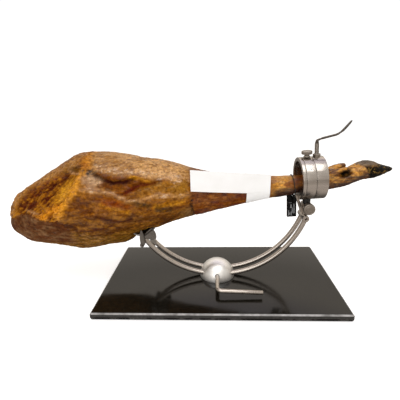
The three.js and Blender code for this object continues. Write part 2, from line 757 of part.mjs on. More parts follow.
// Bar across the two rods under the plate, with a post up to the plate
function cradleCrossBar() {
  const reach = CRADLE_HALF_DEPTH + CRADLE_PLATE + GAP;
  let bar = solid(cylinderAlongY(CROSS_BAR_RADIUS, -reach, reach, CROSS_BAR_X, CROSS_BAR_Z, 20));
  const [postWidth, postDepth, postHeight] = CROSS_BAR_POST;
  const post = new THREE.BoxGeometry(postWidth, postDepth, postHeight)
    .translate(CROSS_BAR_X, 0, CROSS_BAR_Z + postHeight / 2);
  const link = uprightPlate(LINK_LINE, -LINK_DEPTH / 2, LINK_DEPTH);
  bar = bar.add(solid(post));
  for (const y of [-ROD_Y, ROD_Y]) {
    const path = new ArcInFrontPlane(y, ROD_LEFT_ANGLE - 2, ROD_LEFT_ANGLE + 14);
    bar = bar.subtract(solid(roundBar(path, ROD_RADIUS + GAP, 6, 6)));
  }
  return { bar, link };
}

function labelCard() {
  const band = hamSolid(0.5 + LABEL_THICKNESS).intersect(
    solid(new THREE.BoxGeometry(LABEL_RIGHT - LABEL_LEFT, 200, 200)
      .translate((LABEL_LEFT + LABEL_RIGHT) / 2, 0, 215)),
  );
  const flag = uprightPlate(FLAG_LINE, -LABEL_THICKNESS, LABEL_THICKNESS)
    .rotateZ(radians(FLAG_YAW)).translate(...FLAG_START, 0);
  return band.add(solid(flag)).subtract(hamSolid(0.5));
}

// Loop of cord round the shank. It hangs a little below it, where the tag is threaded on.
function cordLoop() {
  return new THREE.TorusGeometry(1, CORD_RADIUS / CORD_HALF_HEIGHT, 6, 28)
    .scale(CORD_HALF_WIDTH, CORD_HALF_HEIGHT, CORD_HALF_HEIGHT)
    .rotateX(Math.PI / 2).rotateZ(Math.PI / 2).rotateY(-radians(CORD_LEAN)).translate(...CORD_CENTRE);
}

function hangingTag() {
  const height = TAG_SIZE[2];
  const card = new THREE.BoxGeometry(...TAG_SIZE)
    .translate(0, 0, -height / 2).rotateY(-radians(TAG_TILT)).translate(...TAG_TOP);
  const hole = cylinderAlongY(TAG_HOLE_RADIUS, 0, 12, ...TAG_HOLE, 16);
  return solid(card).subtract(solid(hole));
}

const cross = cradleCrossBar();
const saddle = cradlePlate();

const model = new THREE.Group();

const stand = new THREE.Group();
stand.add(named('base_slab', baseSlab(), granite));
stand.add(named('hub_dome', hubDome(), polished));
stand.add(named('hub_lever', hubLever(), brushed));
model.add(stand);

const arc = new THREE.Group();
arc.add(named('rod_front', rod(-ROD_Y), brushed));
arc.add(named('rod_rear', rod(ROD_Y), brushed));
arc.add(named('cradle_saddle', saddle, brushed));
arc.add(named('cradle_cross_bar', cross.bar, brushed));
arc.add(named('cradle_link', cross.link, brushed));
arc.add(named('cradle_front_wing', cradleWing(-CRADLE_HALF_DEPTH - CRADLE_PLATE - GAP), brushed));
arc.add(named('cradle_rear_wing', cradleWing(CRADLE_HALF_DEPTH + GAP), brushed));
arc.add(named('cradle_front_strap', strap(-CRADLE_HALF_DEPTH - CRADLE_PLATE - 2 * GAP - STRAP_THICKNESS), brushed));
arc.add(named('cradle_rear_strap', strap(CRADLE_HALF_DEPTH + CRADLE_PLATE + 2 * GAP), brushed));
arc.add(named('end_bar', endBar(), brushed));
arc.add(named('ring_bracket', ringBracket(), brushed));
arc.add(named('swivel_bush', swivelBush(), blackPlastic));
arc.add(named('pivot_knob', pivotKnob(), brushed));
arc.add(named('hock_rest', hockRest(), brushed));
model.add(arc);

const ring = new THREE.Group();
ring.position.set(RING_X, 0, RING_Z);
ring.rotation.y = -radians(RING_TILT);
ring.add(named('ring_flange', ringFlange(), brushed));
ring.add(named('ring_collar', ringCollar(), brushed));
ring.add(named('ring_body', ringBody(), brushed));
ring.add(named('ring_set_screw', setScrew(), polished));
ring.add(named('ring_lock_knob', lockKnob(), brushed));
ring.add(named('screw_nut', screwNut(), brushed));
ring.add(named('clamp_screw', clampScrew(), brushed));
model.add(ring);

model.add(named('ham', hamSolid(0), curedMeat));
model.add(named('label', labelCard(), whiteCard));
model.add(named('tag_cord', cordLoop(), blackCord));
model.add(named('tag', hangingTag(), blackCard));

export default model;
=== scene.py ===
"""Cured ham on its holder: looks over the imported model. Metres, +Z up, -Y is the front."""

import math
from types import SimpleNamespace

import bmesh
import bpy
import numpy as np
from mathutils import Matrix, Vector, noise
from mathutils.bvhtree import BVHTree


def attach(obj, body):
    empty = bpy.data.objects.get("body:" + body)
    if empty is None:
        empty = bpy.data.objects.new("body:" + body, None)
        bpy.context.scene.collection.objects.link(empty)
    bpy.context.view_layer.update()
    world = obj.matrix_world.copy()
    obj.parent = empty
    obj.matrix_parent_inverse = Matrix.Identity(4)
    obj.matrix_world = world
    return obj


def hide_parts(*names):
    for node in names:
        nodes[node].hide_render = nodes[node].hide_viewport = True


MM = 0.001
TURN = 2 * math.pi

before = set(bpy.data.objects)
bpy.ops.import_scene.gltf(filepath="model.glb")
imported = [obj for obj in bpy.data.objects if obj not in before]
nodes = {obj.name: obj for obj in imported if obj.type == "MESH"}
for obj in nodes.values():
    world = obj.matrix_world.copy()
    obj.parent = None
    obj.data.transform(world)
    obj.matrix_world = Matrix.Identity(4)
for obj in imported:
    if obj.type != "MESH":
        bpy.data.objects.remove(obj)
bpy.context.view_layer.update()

# Places and sizes that the solids have, in millimetres
SLAB = (487.0, 277.0, 15.0)
SLAB_CHAMFER = 3.5
HUB = (-3.0, 0.0, 15.0)
HUB_RADIUS = 38.0
ARC_CENTRE = (0.5, 211.6)
ARC_RADIUS = 186.8
ROD_RADIUS = 5.0
ROD_Y = 13.7
ROD_ANGLES = (-56.7, 72.0)
LEVER_RADIUS = 4.3
LEVER_Z = 30.0
LEVER_LEG_Y = -86.0
LEVER_END_X = 86.0
LEVER_END_DROP = 4.0
RING_CENTRE = Vector((184.0, 0.0, 235.0))
RING_TILT = math.radians(3.5)
RING_OUTER = 42.5
RING_INNER = 34.7
COLLAR_INNER = 38.9
SLEEVE_OUTER = 38.4
CLAMP_SCREW_X = 11.8
LOCK_KNOB_X = -7.0
LABEL_SPAN = (56.0, 102.0)
CARD_THICK = 0.4
CARD_GAP = 0.7
SHANK_SLOPE = 0.05
FLAG_START = Vector((-52.0, -50.4))
FLAG_END = Vector((102.0, -23.0))
FLAG_LOW = 223.8
FLAG_LOW_DROP = 10.1
FLAG_HIGH = 265.3
FLAG_HIGH_SLOPE = -0.111
FLAG_BOW = 1.2
FLAG_CURL = 0.8
TAG_TOP = (151.4, 198.7)
TAG_SIZE = (20.0, 48.8)
TAG_TILT = math.radians(3.5)
TAG_FRONT = 5.2
TAG_THICK = 0.8
TAG_HOLE = (1.8, -2.2)
TAG_BARS = (
    (-6.4, -18.0, 0.6, -17.4), (-2.2, -29.3, 0.0, -21.3), (4.2, -41.3, 6.0, -20.3), (0.8, -40.3, 2.2, -28.8),
    (-6.6, -45.3, -5.2, -34.3), (-4.0, -44.3, -2.6, -39.3), (-1.2, -45.8, 0.0, -36.8),
)

# The cord's loop round the shank, as its middle, its half depth and half height, and its lean
CORD_MIDDLE = (150.2, 219.2)
CORD_HALF = (22.4, 23.0)
CORD_RADIUS = 0.8
CORD_LEAN = math.radians(8)

# The camera that the photograph's perspective gives: place, turns, and focal length in pixels of its frame
CAMERA_PLACE = (-6.81, -613.36, 390.07)
CAMERA_TURNS = (0.0496, 0.3141, 0.0255)
FOCAL_PIXELS = 310.68
FRAME_PIXELS = 400

# The ham's skin: mesh step, and the light on it, which turns screen colours into base colours
HAM_VOXEL = 1.7
LIGHT_ON_HAM = 1.15
LIGHT_VEIL = 0.010
DARKEST = (0.005, 0.003, 0.0008)

# The room that shiny surfaces see, as level from -1 to 1 and colour, and the one that dull surfaces see
ROOM_FRONT = ((-0.9, (0.56, 0.50, 0.45)), (-0.42, (0.62, 0.56, 0.51)), (-0.15, (0.34, 0.30, 0.26)),
              (0.12, (0.62, 0.57, 0.52)), (0.6, (0.74, 0.70, 0.65)))
ROOM_BACK = ((-0.5, (0.12, 0.11, 0.10)), (-0.05, (0.40, 0.365, 0.325)), (0.44, (0.78, 0.71, 0.62)),
             (0.62, (1.25, 1.13, 0.98)), (0.80, (0.95, 0.88, 0.97)))
ROOM_SOFT = (0.55, 0.515, 0.485)

# Lines on the ham's front, as x, z points
RIM = ((-250, 290), (-248, 276), (-255, 264), (-257, 249), (-270, 230), (-281, 219), (-291, 202), (-299, 186))
SKIN_EDGE = ((-430, 175), (-413, 197), (-399, 213), (-379, 230), (-342, 251), (-303, 267), (-284, 279),
             (-262, 290))
PATCH_TOP = ((-436, 165), (-412, 170), (-397, 173), (-377, 182), (-346, 179), (-327, 172), (-296, 169),
             (-289, 155))
LOBE_EDGE = ((-240, 262), (-229, 267), (-200, 260), (-173, 258), (-150, 258), (-125, 254), (-100, 252),
             (-76, 246))
END_CORNER = ((-438, 150), (-431, 139))
END_TOP = ((-441, 168), (-438, 180), (-428, 190))
# Zones on the ham's front, as name, path and reach in millimetres. The dark_side, dark_cut, pit, under_lobe,
# fold, fold_low, crease, crack and hollow zones also carry painted shade, and the ridge and the glossy band
# below the lobe carry painted highlights.
ZONE_PATHS = (
    ("rim", RIM, 6),
    ("rim_top", ((-257, 284), (-250, 272)), 9),
    ("rim_side", ((-256, 230), (-272, 212), (-282, 196)), 6),
    ("dark_side", ((-262, 214), (-250, 209), (-251, 197)), 13),
    ("skin_edge", SKIN_EDGE, 8),
    ("dark_cut", ((-269, 259), (-290, 247), (-316, 235), (-342, 225), (-365, 214), (-390, 198), (-397, 187),
                  (-363, 198), (-334, 210), (-312, 223), (-291, 240)), 9),
    ("red_cut", ((-412, 188), (-395, 207), (-370, 224), (-345, 238), (-320, 250), (-292, 262)), 9),
    ("olive_patch", ((-290, 270), (-276, 272), (-262, 271)), 9),
    ("gold_patch", ((-296, 220), (-287, 232), (-272, 244)), 10),
    ("orange_band", ((-356, 175), (-330, 185), (-308, 196), (-293, 208)), 6),
    ("sliver", ((-283, 266), (-272, 264), (-261, 263)), 2.6),
    ("sliver", ((-378, 189), (-363, 189), (-347, 189)), 2.6),
    ("pit", ((-250, 266), (-234, 263)), 5.5),
    ("pale", ((-244, 255), (-229, 247)), 8),
    ("under_lobe", ((-222, 262), (-200, 254), (-173, 252), (-150, 254)), 6),
    ("under_lobe", ((-205, 240), (-172, 237), (-150, 246)), 8),
    ("fold", ((-231, 257), (-218, 249), (-204, 247), (-196, 244), (-173, 245), (-158, 251)), 4.5),
    ("fold_low", ((-224, 242), (-204, 235), (-187, 230), (-173, 226), (-163, 233), (-145, 240),
                  (-120, 243)), 4),
    ("ridge", ((-253, 238), (-239, 237), (-223, 234), (-193, 228), (-181, 223), (-167, 214), (-152, 214),
               (-139, 216), (-111, 220), (-86, 217), (-55, 217)), 3.6),
    ("lobe_specks", ((-229, 271), (-189, 265), (-154, 261), (-111, 254), (-76, 247)), 7),
    ("gold", ((-119, 199), (-98, 203), (-70, 202)), 5),
    ("gold", ((-164, 254), (-145, 250), (-131, 247)), 4),
    ("gold", ((-219, 206), (-185, 198), (-169, 191)), 4),
    ("red", ((-212, 211), (-189, 211), (-175, 203)), 10),
    ("stain", ((-113, 194), (-92, 189)), 7),
    ("stain", ((-150, 207), (-134, 201)), 7),
    ("dark_streak", ((-232, 184), (-210, 178), (-188, 172), (-162, 177)), 3.2),
    ("dark_streak", ((-268, 151), (-233, 157), (-203, 164)), 3),
    ("crease", ((-297, 168), (-277, 159), (-271, 141)), 3.6),
    ("patch_edge", PATCH_TOP, 3.5),
    ("crack", ((-46, 214), (-55, 202), (-52, 183), (-49, 162)), 2.2),
    ("hollow", ((243, 244), (252, 246)), 6),
)


def moved(x, y, z):
    return Matrix.Translation(Vector((x, y, z)) * MM)


def link(name, data):
    obj = bpy.data.objects.new(name, data)
    bpy.context.scene.collection.objects.link(obj)
    return obj


def mesh_object(name, vertices, faces, smooth=True):
    """An object from millimetre points and faces."""
    mesh = bpy.data.meshes.new(name)
    mesh.from_pydata([tuple(Vector(v) * MM) for v in vertices], [], faces)
    mesh.update()
    if smooth:
        mesh.shade_smooth()
    return link(name, mesh)


def solid_object(name, vertices, faces):
    """A closed object whose faces look outwards."""
    obj = mesh_object(name, vertices, faces)
    face_outwards(obj)
    return obj


def face_outwards(obj):
    editable = bmesh.new()
    editable.from_mesh(obj.data)
    bmesh.ops.recalc_face_normals(editable, faces=editable.faces)
    editable.to_mesh(obj.data)
    editable.free()


def ring_faces(count, sides, closed=False):
    """Quads between rings of points; closed joins the last ring to the first."""
    faces = []
    for ring in range(count if closed else count - 1):
        here = ring * sides
        after = (ring + 1) % count * sides
        for s in range(sides):
            n = (s + 1) % sides
            faces.append((here + s, here + n, after + n, after + s))
    return faces


def end_faces(count, sides):
    """The faces that close the first and the last ring."""
    return [tuple(reversed(range(sides))), tuple(range((count - 1) * sides, count * sides))]


def sheet_faces(rows, width):
    """Quads of a sheet with rows of points, each row so many points wide."""
    return [(a, a + 1, a + width + 1, a + width)
            for r in range(rows - 1) for a in range(r * width, (r + 1) * width - 1)]


def curve(points, steps, closed=False):
    """Points on a smooth curve through the given ones."""
    rows = [Vector(p) for p in points]
    if closed:
        rows = rows[-1:] + rows + rows[:2]
    else:
        rows = [2 * rows[0] - rows[1]] + rows + [2 * rows[-1] - rows[-2]]
    result = []
    for p0, p1, p2, p3 in zip(rows, rows[1:], rows[2:], rows[3:]):
        for t in (s / steps for s in range(steps)):
            result.append(0.5 * (2 * p1 + (p2 - p0) * t + (2 * p0 - 5 * p1 + 4 * p2 - p3) * t ** 2
                                 + (3 * p1 - p0 - 3 * p2 + p3) * t ** 3))
    return result if closed else result + [rows[-2]]


def baked(obj):
    """The object with its modifiers made real."""
    graph = bpy.context.evaluated_depsgraph_get()
    mesh = bpy.data.meshes.new_from_object(obj.evaluated_get(graph))
    obj.modifiers.clear()
    obj.data = mesh
    return obj


def bevel(obj, width, segments=3, angle=30.0):
    modifier = obj.modifiers.new("edge", "BEVEL")
    modifier.width = width * MM
    modifier.segments = segments
    modifier.limit_method = "ANGLE"
    modifier.angle_limit = math.radians(angle)
    modifier.harden_normals = False


def smooth_by_angle(obj, degrees=35.0):
    """Smooth shading that keeps edges sharper than the given angle."""
    mesh = obj.data
    editable = bmesh.new()
    editable.from_mesh(mesh)
    limit = math.radians(degrees)
    for edge in editable.edges:
        edge.smooth = len(edge.link_faces) == 2 and edge.calc_face_angle(0.0) < limit
    for face in editable.faces:
        face.smooth = True
    editable.to_mesh(mesh)
    editable.free()
    return obj


def lathe(name, profile, segments, wobble=None):
    """A body of revolution about Z from (radius, height) points. wobble(angle, row) scales a radius."""
    vertices = []
    rows = []
    for row, (radius, height) in enumerate(profile):
        start = len(vertices)
        for s in range(segments if radius > 0 else 1):
            angle = s / segments * TURN
            r = radius * (wobble(angle, row) if wobble else 1.0)
            vertices.append((r * math.cos(angle), r * math.sin(angle), height))
        rows.append(range(start, len(vertices)))
    faces = []
    for lower, upper in zip(rows, rows[1:]):
        for s in range(segments):
            n = (s + 1) % segments
            corners = [ring[i % len(ring)] for ring, i in ((lower, s), (lower, n), (upper, n), (upper, s))]
            face = tuple(dict.fromkeys(corners))
            if len(face) > 2:
                faces.append(face)
    return solid_object(name, vertices, faces)


def rounded(profile, radius, steps=3):
    """The profile with each inner corner cut by a short arc."""
    points = [Vector(p) for p in profile]
    result = [tuple(points[0])]
    for before, corner, after in zip(points, points[1:], points[2:]):
        to_before = before - corner
        to_after = after - corner
        reach = min(radius, to_before.length * 0.45, to_after.length * 0.45)
        start = corner + to_before.normalized() * reach
        end = corner + to_after.normalized() * reach
        for i in range(steps + 1):
            t = i / steps
            result.append(tuple(start.lerp(corner, t).lerp(corner.lerp(end, t), t)))
    result.append(tuple(points[-1]))
    return result


def tube(name, points, radii, sides=28, across=Vector((0, 1, 0)), squash=1.0):
    """A round or flattened bar through the points, with closed ends."""
    path = [Vector(p) for p in points]
    vertices = []
    count = len(path)
    for i, point in enumerate(path):
        ahead = path[min(i + 1, count - 1)] - path[max(i - 1, 0)]
        tangent = ahead.normalized()
        side = (across - tangent * across.dot(tangent)).normalized()
        up = side.cross(tangent).normalized()
        radius = radii[i] if isinstance(radii, (list, tuple)) else radii
        thick = squash[i] if isinstance(squash, (list, tuple)) else squash
        for s in range(sides):
            angle = s / sides * TURN
            vertices.append(point + side * radius * math.cos(angle) + up * radius * thick * math.sin(angle))
    return solid_object(name, vertices, ring_faces(count, sides) + end_faces(count, sides))


def plate(name, outline, front_y, thickness, edge=0.5):
    """An upright plate drawn in x, z, its front face at front_y."""
    count = len(outline)
    vertices = [(x, front_y, z) for x, z in outline] + [(x, front_y + thickness, z) for x, z in outline]
    faces = [tuple(range(count)), tuple(reversed(range(count, 2 * count)))]
    for i in range(count):
        n = (i + 1) % count
        faces.append((n, i, count + i, count + n))
    obj = solid_object(name, vertices, faces)
    bevel(obj, edge, 3)
    return smooth_by_angle(baked(obj), 40)


def ring_matrix():
    return moved(*RING_CENTRE) @ Matrix.Rotation(-RING_TILT, 4, "Y")


def on_ring(x):
    """The place on the ring's axis at x, for a piece drawn about Z that stands on the ring."""
    return ring_matrix() @ moved(x, 0, 0)


def cut(obj, tool):
    modifier = obj.modifiers.new("cut", "BOOLEAN")
    modifier.operation = "DIFFERENCE"
    modifier.solver = "EXACT"
    modifier.object = tool
    baked(obj)
    bpy.data.objects.remove(tool)


class Nodes:
    """Short calls for the nodes of one tree. A value is a number, a colour or another node's output."""

    def __init__(self, tree):
        self.tree = tree

    def add(self, kind, **values):
        node = self.tree.nodes.new(kind)
        for key, value in values.items():
            setattr(node, key, value)
        return node

    def put(self, socket, value):
        if isinstance(value, (int, float)):
            socket.default_value = value
        elif isinstance(value, tuple):
            socket.default_value = value if socket.type == "VECTOR" else (*value, 1.0)
        else:
            self.tree.links.new(value, socket)

    def node(self, kind, inputs, output=0, **values):
        """The output of a new node with values or links for its inputs."""
        node = self.add(kind, **values)
        for socket, value in inputs.items():
            self.put(node.inputs[socket], value)
        return node.outputs[output]

    def ramp(self, factor, *stops):
        node = self.add("ShaderNodeValToRGB")
        elements = node.color_ramp.elements
        while len(elements) < len(stops):
            elements.new(0.5)
        for element, (position, value) in zip(elements, stops):
            element.position = position
            element.color = (*value, 1.0) if isinstance(value, tuple) else (value, value, value, 1.0)
        self.put(node.inputs["Fac"], factor)
        return node.outputs["Color"]

    def remap(self, value, low, high, to_low, to_high):
        return self.node("ShaderNodeMapRange", {"Value": value, "From Min": low, "From Max": high,
                                                "To Min": to_low, "To Max": to_high})

    def mix(self, factor, a, b, mode="MIX"):
        return self.node("ShaderNodeMix", {0: factor, 6: a, 7: b}, 2, data_type="RGBA", blend_type=mode)


class Shader(Nodes):
    """A Principled material."""

    def __init__(self, name, metallic=0.0):
        self.material = bpy.data.materials.new(name)
        self.material.use_nodes = True
        super().__init__(self.material.node_tree)
        self.shader = self.tree.nodes["Principled BSDF"]
        self.set("Metallic", metallic)
        self.place = self.add("ShaderNodeTexCoord").outputs["Object"]

    def set(self, socket, value):
        self.put(self.shader.inputs[socket], value)

    def stretched(self, scale):
        return self.node("ShaderNodeMapping", {"Vector": self.place, "Scale": scale})

    def noise(self, scale, detail=4.0, rough=0.55, vector=None, distortion=0.0):
        inputs = {"Scale": scale, "Detail": detail, "Roughness": rough, "Distortion": distortion}
        return self.node("ShaderNodeTexNoise", {**inputs, "Vector": vector or self.place}, "Fac")

    def math(self, operation, a, b):
        return self.node("ShaderNodeMath", {0: a, 1: b}, operation=operation)

    def bump(self, height, strength, distance, under=None):
        inputs = {"Strength": strength, "Distance": distance * MM, "Height": height}
        if under:
            inputs["Normal"] = under
        normal = self.node("ShaderNodeBump", inputs)
        self.set("Normal", normal)
        return normal


def granite():
    """Black granite: polished on top, honed grey at the sides, with chamfers painted lighter as a painted
    highlight.
    """
    s = Shader("granite")
    fleck = s.noise(900, 3, 0.7)
    coarse = s.noise(260, 2, 0.6)
    blotch = s.noise(34, 4, 0.62)
    grains = s.ramp(fleck, (0.56, (0.0075, 0.0064, 0.0046)), (0.66, (0.020, 0.017, 0.012)),
                    (0.76, (0.09, 0.083, 0.074)))
    patches = s.ramp(coarse, (0.42, 0.7), (0.62, (1.35, 1.32, 1.28)))
    top = s.mix(1.0, grains, patches, "MULTIPLY")
    honed = s.ramp(coarse, (0.36, (0.026, 0.024, 0.022)), (0.66, (0.046, 0.043, 0.040)))
    stain = s.ramp(blotch, (0.46, 0.002), (0.51, 1.0))
    # Painted highlight: the light colour of the chamfers stands in for the glint along the edge.
    painted_chamfer_glint = s.ramp(blotch, (0.36, (0.20, 0.195, 0.19)), (0.56, (0.46, 0.45, 0.45)))
    height = s.node("ShaderNodeSeparateXYZ", {"Vector": s.place}, "Z")
    thick = SLAB[2] * MM
    edge = SLAB_CHAMFER * MM
    side = s.mix(s.remap(height, 0.0065, 0.0085, 1, 0), honed, s.mix(1.0, honed, stain, "MULTIPLY"))
    below_top = s.remap(height, thick - 0.0003, thick - 0.0001, 1, 0)
    on_chamfer = s.remap(height, thick - edge + 0.0006, thick - edge + 0.0012, 0, 1)
    s.set("Base Color", s.mix(below_top, top, s.mix(on_chamfer, side, painted_chamfer_glint)))
    haze = s.noise(14, 3, 0.6)
    polish = s.remap(haze, 0.35, 0.65, 0.10, 0.16)
    s.set("Roughness", s.math("ADD", polish, s.math("MULTIPLY", below_top, 0.22)))
    s.set("IOR", 1.62)
    s.set("Specular IOR Level", s.remap(below_top, 0, 1, 0.27, 0.13))
    s.bump(fleck, 0.02, 0.05)
    return s.material


def satin_steel(name="satin_steel", tint=(0.56, 0.515, 0.47), roughness=0.3, along="Z", grain=1.0):
    """Stainless steel with fine drawn or turned lines running round or along the piece."""
    s = Shader(name, 1.0)
    fine = {"X": (9, 1400, 1400), "Y": (1400, 9, 1400), "Z": (1400, 1400, 9), "N": (500, 500, 500)}[along]
    lines = s.noise(1.0, 4, 0.7, s.stretched(fine))
    smear = s.noise(26, 4, 0.6)
    tone = s.mix(0.5, s.ramp(lines, (0.3, 0.80), (0.7, (1.06, 1.05, 1.04))),
                 s.ramp(smear, (0.3, (0.86, 0.85, 0.83)), (0.7, (1.05, 1.04, 1.02))), "MULTIPLY")
    s.set("Base Color", s.mix(1.0, tint, tone, "MULTIPLY"))
    s.set("Roughness", s.remap(s.math("ADD", lines, smear), 0.7, 1.3, roughness - 0.07, roughness + 0.09))
    s.bump(lines, 0.10 * grain, 0.06)
    return s.material


def mirror_steel():
    """Mirror-polished stainless steel with faint swirls and finger haze."""
    s = Shader("mirror_steel", 1.0)
    haze = s.noise(45, 5, 0.65)
    swirl = s.noise(320, 2, 0.5, s.stretched((1, 1, 3)))
    s.set("Roughness", s.remap(haze, 0.35, 0.7, 0.36, 0.50))
    s.set("Base Color", s.ramp(haze, (0.3, (0.91, 0.90, 0.875)), (0.7, (0.98, 0.97, 0.95))))
    s.bump(swirl, 0.03, 0.03)
    return s.material


def matt(name, cloud, cloud_stops, grain, roughness, bump=None):
    """A cloudy matt material with a fine grain in its gloss and relief."""
    s = Shader(name)
    fine = s.noise(*grain)
    s.set("Base Color", s.ramp(s.noise(*cloud), *cloud_stops))
    s.set("Roughness", s.remap(fine, 0.3, 0.7, *roughness))
    if bump:
        s.bump(fine, *bump)
    return s


def black_plastic():
    return matt("black_plastic", (60, 3), ((0.3, 0.007), (0.7, (0.018, 0.017, 0.016))),
                (1500, 2, 0.5), (0.35, 0.52), (0.15, 0.05)).material


def white_card():
    """Uncoated white card with a faint fibre."""
    s = matt("white_card", (30, 3, 0.5), ((0.25, (0.84, 0.835, 0.82)), (0.75, (0.90, 0.90, 0.895))),
             (1100, 4, 0.7), (0.48, 0.62), (0.08, 0.04))
    s.set("Subsurface Weight", 0.05)
    s.set("Subsurface Radius", (0.002, 0.002, 0.002))
    return s.material


def black_card():
    s = matt("black_card", (80, 3), ((0.3, 0.002), (0.7, 0.005)),
             (900, 3, 0.7), (0.46, 0.6), (0.1, 0.04))
    s.set("Specular IOR Level", 0.15)
    return s.material


def grey_print():
    worn = (700, 3, 0.7)
    return matt("grey_print", worn, ((0.35, (0.16, 0.165, 0.17)), (0.6, (0.36, 0.37, 0.38))),
                worn, (0.42, 0.58)).material


def black_cord():
    """Twisted black cord."""
    s = Shader("black_cord")
    twist = s.node("ShaderNodeTexWave", {"Scale": 320, "Distortion": 1.5, "Vector": s.place}, "Fac",
                   wave_type="BANDS", bands_direction="DIAGONAL")
    s.set("Base Color", s.ramp(twist, (0.2, 0.006), (0.8, (0.026, 0.025, 0.024))))
    s.set("Roughness", s.remap(twist, 0.0, 1.0, 0.85, 0.65))
    s.bump(twist, 0.6, 0.25)
    return s.material


def cured_meat():
    """Oily cured skin, fat and dried meat. The mesh carries the broad tone with its painted shade and painted
    highlights; this adds the fine detail.
    """
    s = Shader("cured_meat")
    tone = s.add("ShaderNodeAttribute", attribute_name="tone").outputs["Color"]
    horn = s.add("ShaderNodeAttribute", attribute_name="horn").outputs["Fac"]
    wet = s.add("ShaderNodeAttribute", attribute_name="wet").outputs["Fac"]
    streak = s.noise(1.0, 6, 0.62, s.stretched((105, 230, 230)), 0.8)
    mottle = s.noise(190, 5, 0.65, None, 0.3)
    speck = s.noise(620, 3, 0.6)
    shade = s.ramp(streak, (0.32, (0.52, 0.44, 0.34)), (0.50, 1.0), (0.68, (1.40, 1.40, 1.42)))
    patch = s.ramp(mottle, (0.34, (0.56, 0.48, 0.40)), (0.50, 1.0), (0.66, (1.38, 1.42, 1.55)))
    fine = s.ramp(speck, (0.30, (0.80, 0.77, 0.72)), (0.65, (1.10, 1.11, 1.12)))
    colour = s.mix(0.8, tone, shade, "MULTIPLY")
    colour = s.mix(0.8, colour, patch, "MULTIPLY")
    colour = s.mix(0.6, colour, fine, "MULTIPLY")
    scuff = s.ramp(s.noise(85, 5, 0.7, None, 1.6), (0.55, 0.0), (0.59, 1.0))
    horn_base = s.ramp(s.noise(120, 4, 0.6), (0.35, (0.001, 0.0007, 0.0005)), (0.65, (0.007, 0.005, 0.003)))
    horn_colour = s.mix(s.math("MULTIPLY", scuff, 0.75), horn_base, (0.21, 0.12, 0.022))
    s.set("Base Color", s.mix(horn, colour, horn_colour))
    s.set("Roughness", s.remap(s.math("ADD", mottle, speck), 0.75, 1.3, 0.24, 0.46))
    s.set("Specular IOR Level", s.remap(wet, 0.0, 1.0, 0.04, 0.85))
    s.set("Subsurface Weight", 0.04)
    s.set("Subsurface Radius", (0.003, 0.0012, 0.0005))
    s.set("Subsurface Scale", 1.0)
    first = s.bump(streak, 0.55, 1.0)
    second = s.bump(mottle, 0.60, 0.9, first)
    s.bump(speck, 0.35, 0.25, second)
    return s.material


def pale_floor():
    s = Shader("pale_floor")
    s.set("Roughness", 0.8)
    s.set("Base Color", s.ramp(s.noise(3, 2), (0.3, 0.925), (0.7, 0.935)))
    s.set("Specular IOR Level", 0.1)
    s.set("Emission Color", (1, 1, 1))
    s.set("Emission Strength", 0.6)
    return s.material


def paint(obj, material):
    obj.data.materials.clear()
    obj.data.materials.append(material)


def finish_piece(obj, material, body, slot, *replaced, edge=None):
    """Gives the piece its material and body; slot is not used. Edges sharper than the edge angle stay crisp.
    """
    if edge:
        smooth_by_angle(obj, edge)
    paint(obj, material)
    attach(obj, body)
    if replaced:
        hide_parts(*replaced)


# Ham
def path_distance(points, path):
    """Distance of each x, z point from a path, and the side that it is on: 1 is left of the walk."""
    best = np.full(len(points), 1e9)
    side = np.ones(len(points))
    for (x0, z0), (x1, z1) in zip(path, path[1:]):
        step = np.array((x1 - x0, z1 - z0), float)
        off = points - (x0, z0)
        t = np.clip((off @ step) / step.dot(step), 0, 1)
        distance = np.linalg.norm(off - t[:, None] * step, axis=1)
        closer = distance < best
        best[closer] = distance[closer]
        side[closer] = np.sign(step[0] * off[closer, 1] - step[1] * off[closer, 0])
    return best, side


def near(points, path, reach):
    return np.exp(-(path_distance(points, path)[0] / reach) ** 2)


def left_of(points, path):
    """Signed distance in millimetres, above zero on the left of the walk along the path."""
    distance, side = path_distance(points, path)
    return distance * side


def rise(value, low, high):
    """From 0 at low to 1 at high, with soft ends."""
    t = np.clip((value - low) / (high - low), 0, 1)
    return t * t * (3 - 2 * t)


def between(value, low, full, falling, high):
    """From 0 to 1 between low and full, and back to 0 between falling and high."""
    return rise(value, low, full) * (1 - rise(value, falling, high))


def field(places, scale, seed, octaves=1, ridged=False):
    """Smooth random values about -1 to 1 at millimetre places, with a scale in millimetres for each axis."""
    out = np.zeros(len(places))
    offset = Vector((seed * 17.3, seed * 5.7, seed * 11.9))
    scaled = places / np.array(scale, float)
    for octave in range(octaves):
        factor = 2.0 ** octave
        values = np.fromiter((noise.noise(Vector(p) * factor + offset) for p in scaled), float, len(places))
        if ridged:
            values = 1 - 3.2 * np.abs(values)
        out += values * 0.55 ** octave
    return out


def mesh_arrays(mesh):
    places = np.empty(len(mesh.vertices) * 3)
    mesh.vertices.foreach_get("co", places)
    normals = np.empty(len(mesh.vertices) * 3)
    mesh.vertices.foreach_get("normal", normals)
    return places.reshape(-1, 3) / MM, normals.reshape(-1, 3)


def ham_base():
    """A fine smooth copy of the ham's solid."""
    obj = link("ham_skin", nodes["ham"].data.copy())
    remesh = obj.modifiers.new("remesh", "REMESH")
    remesh.mode = "VOXEL"
    remesh.voxel_size = HAM_VOXEL * MM
    baked(obj)
    places, _ = mesh_arrays(obj.data)
    group = obj.vertex_groups.new(name="soft")
    for index, x in enumerate(places[:, 0]):
        group.add([index], 0.3 if x < -404 else 1.0 if x < 190 else 0.35, "REPLACE")
    for amount in (14, 14):
        smooth = obj.modifiers.new("smooth", "SMOOTH")
        smooth.factor = 0.6
        smooth.iterations = amount
        smooth.vertex_group = "soft"
    return baked(obj)


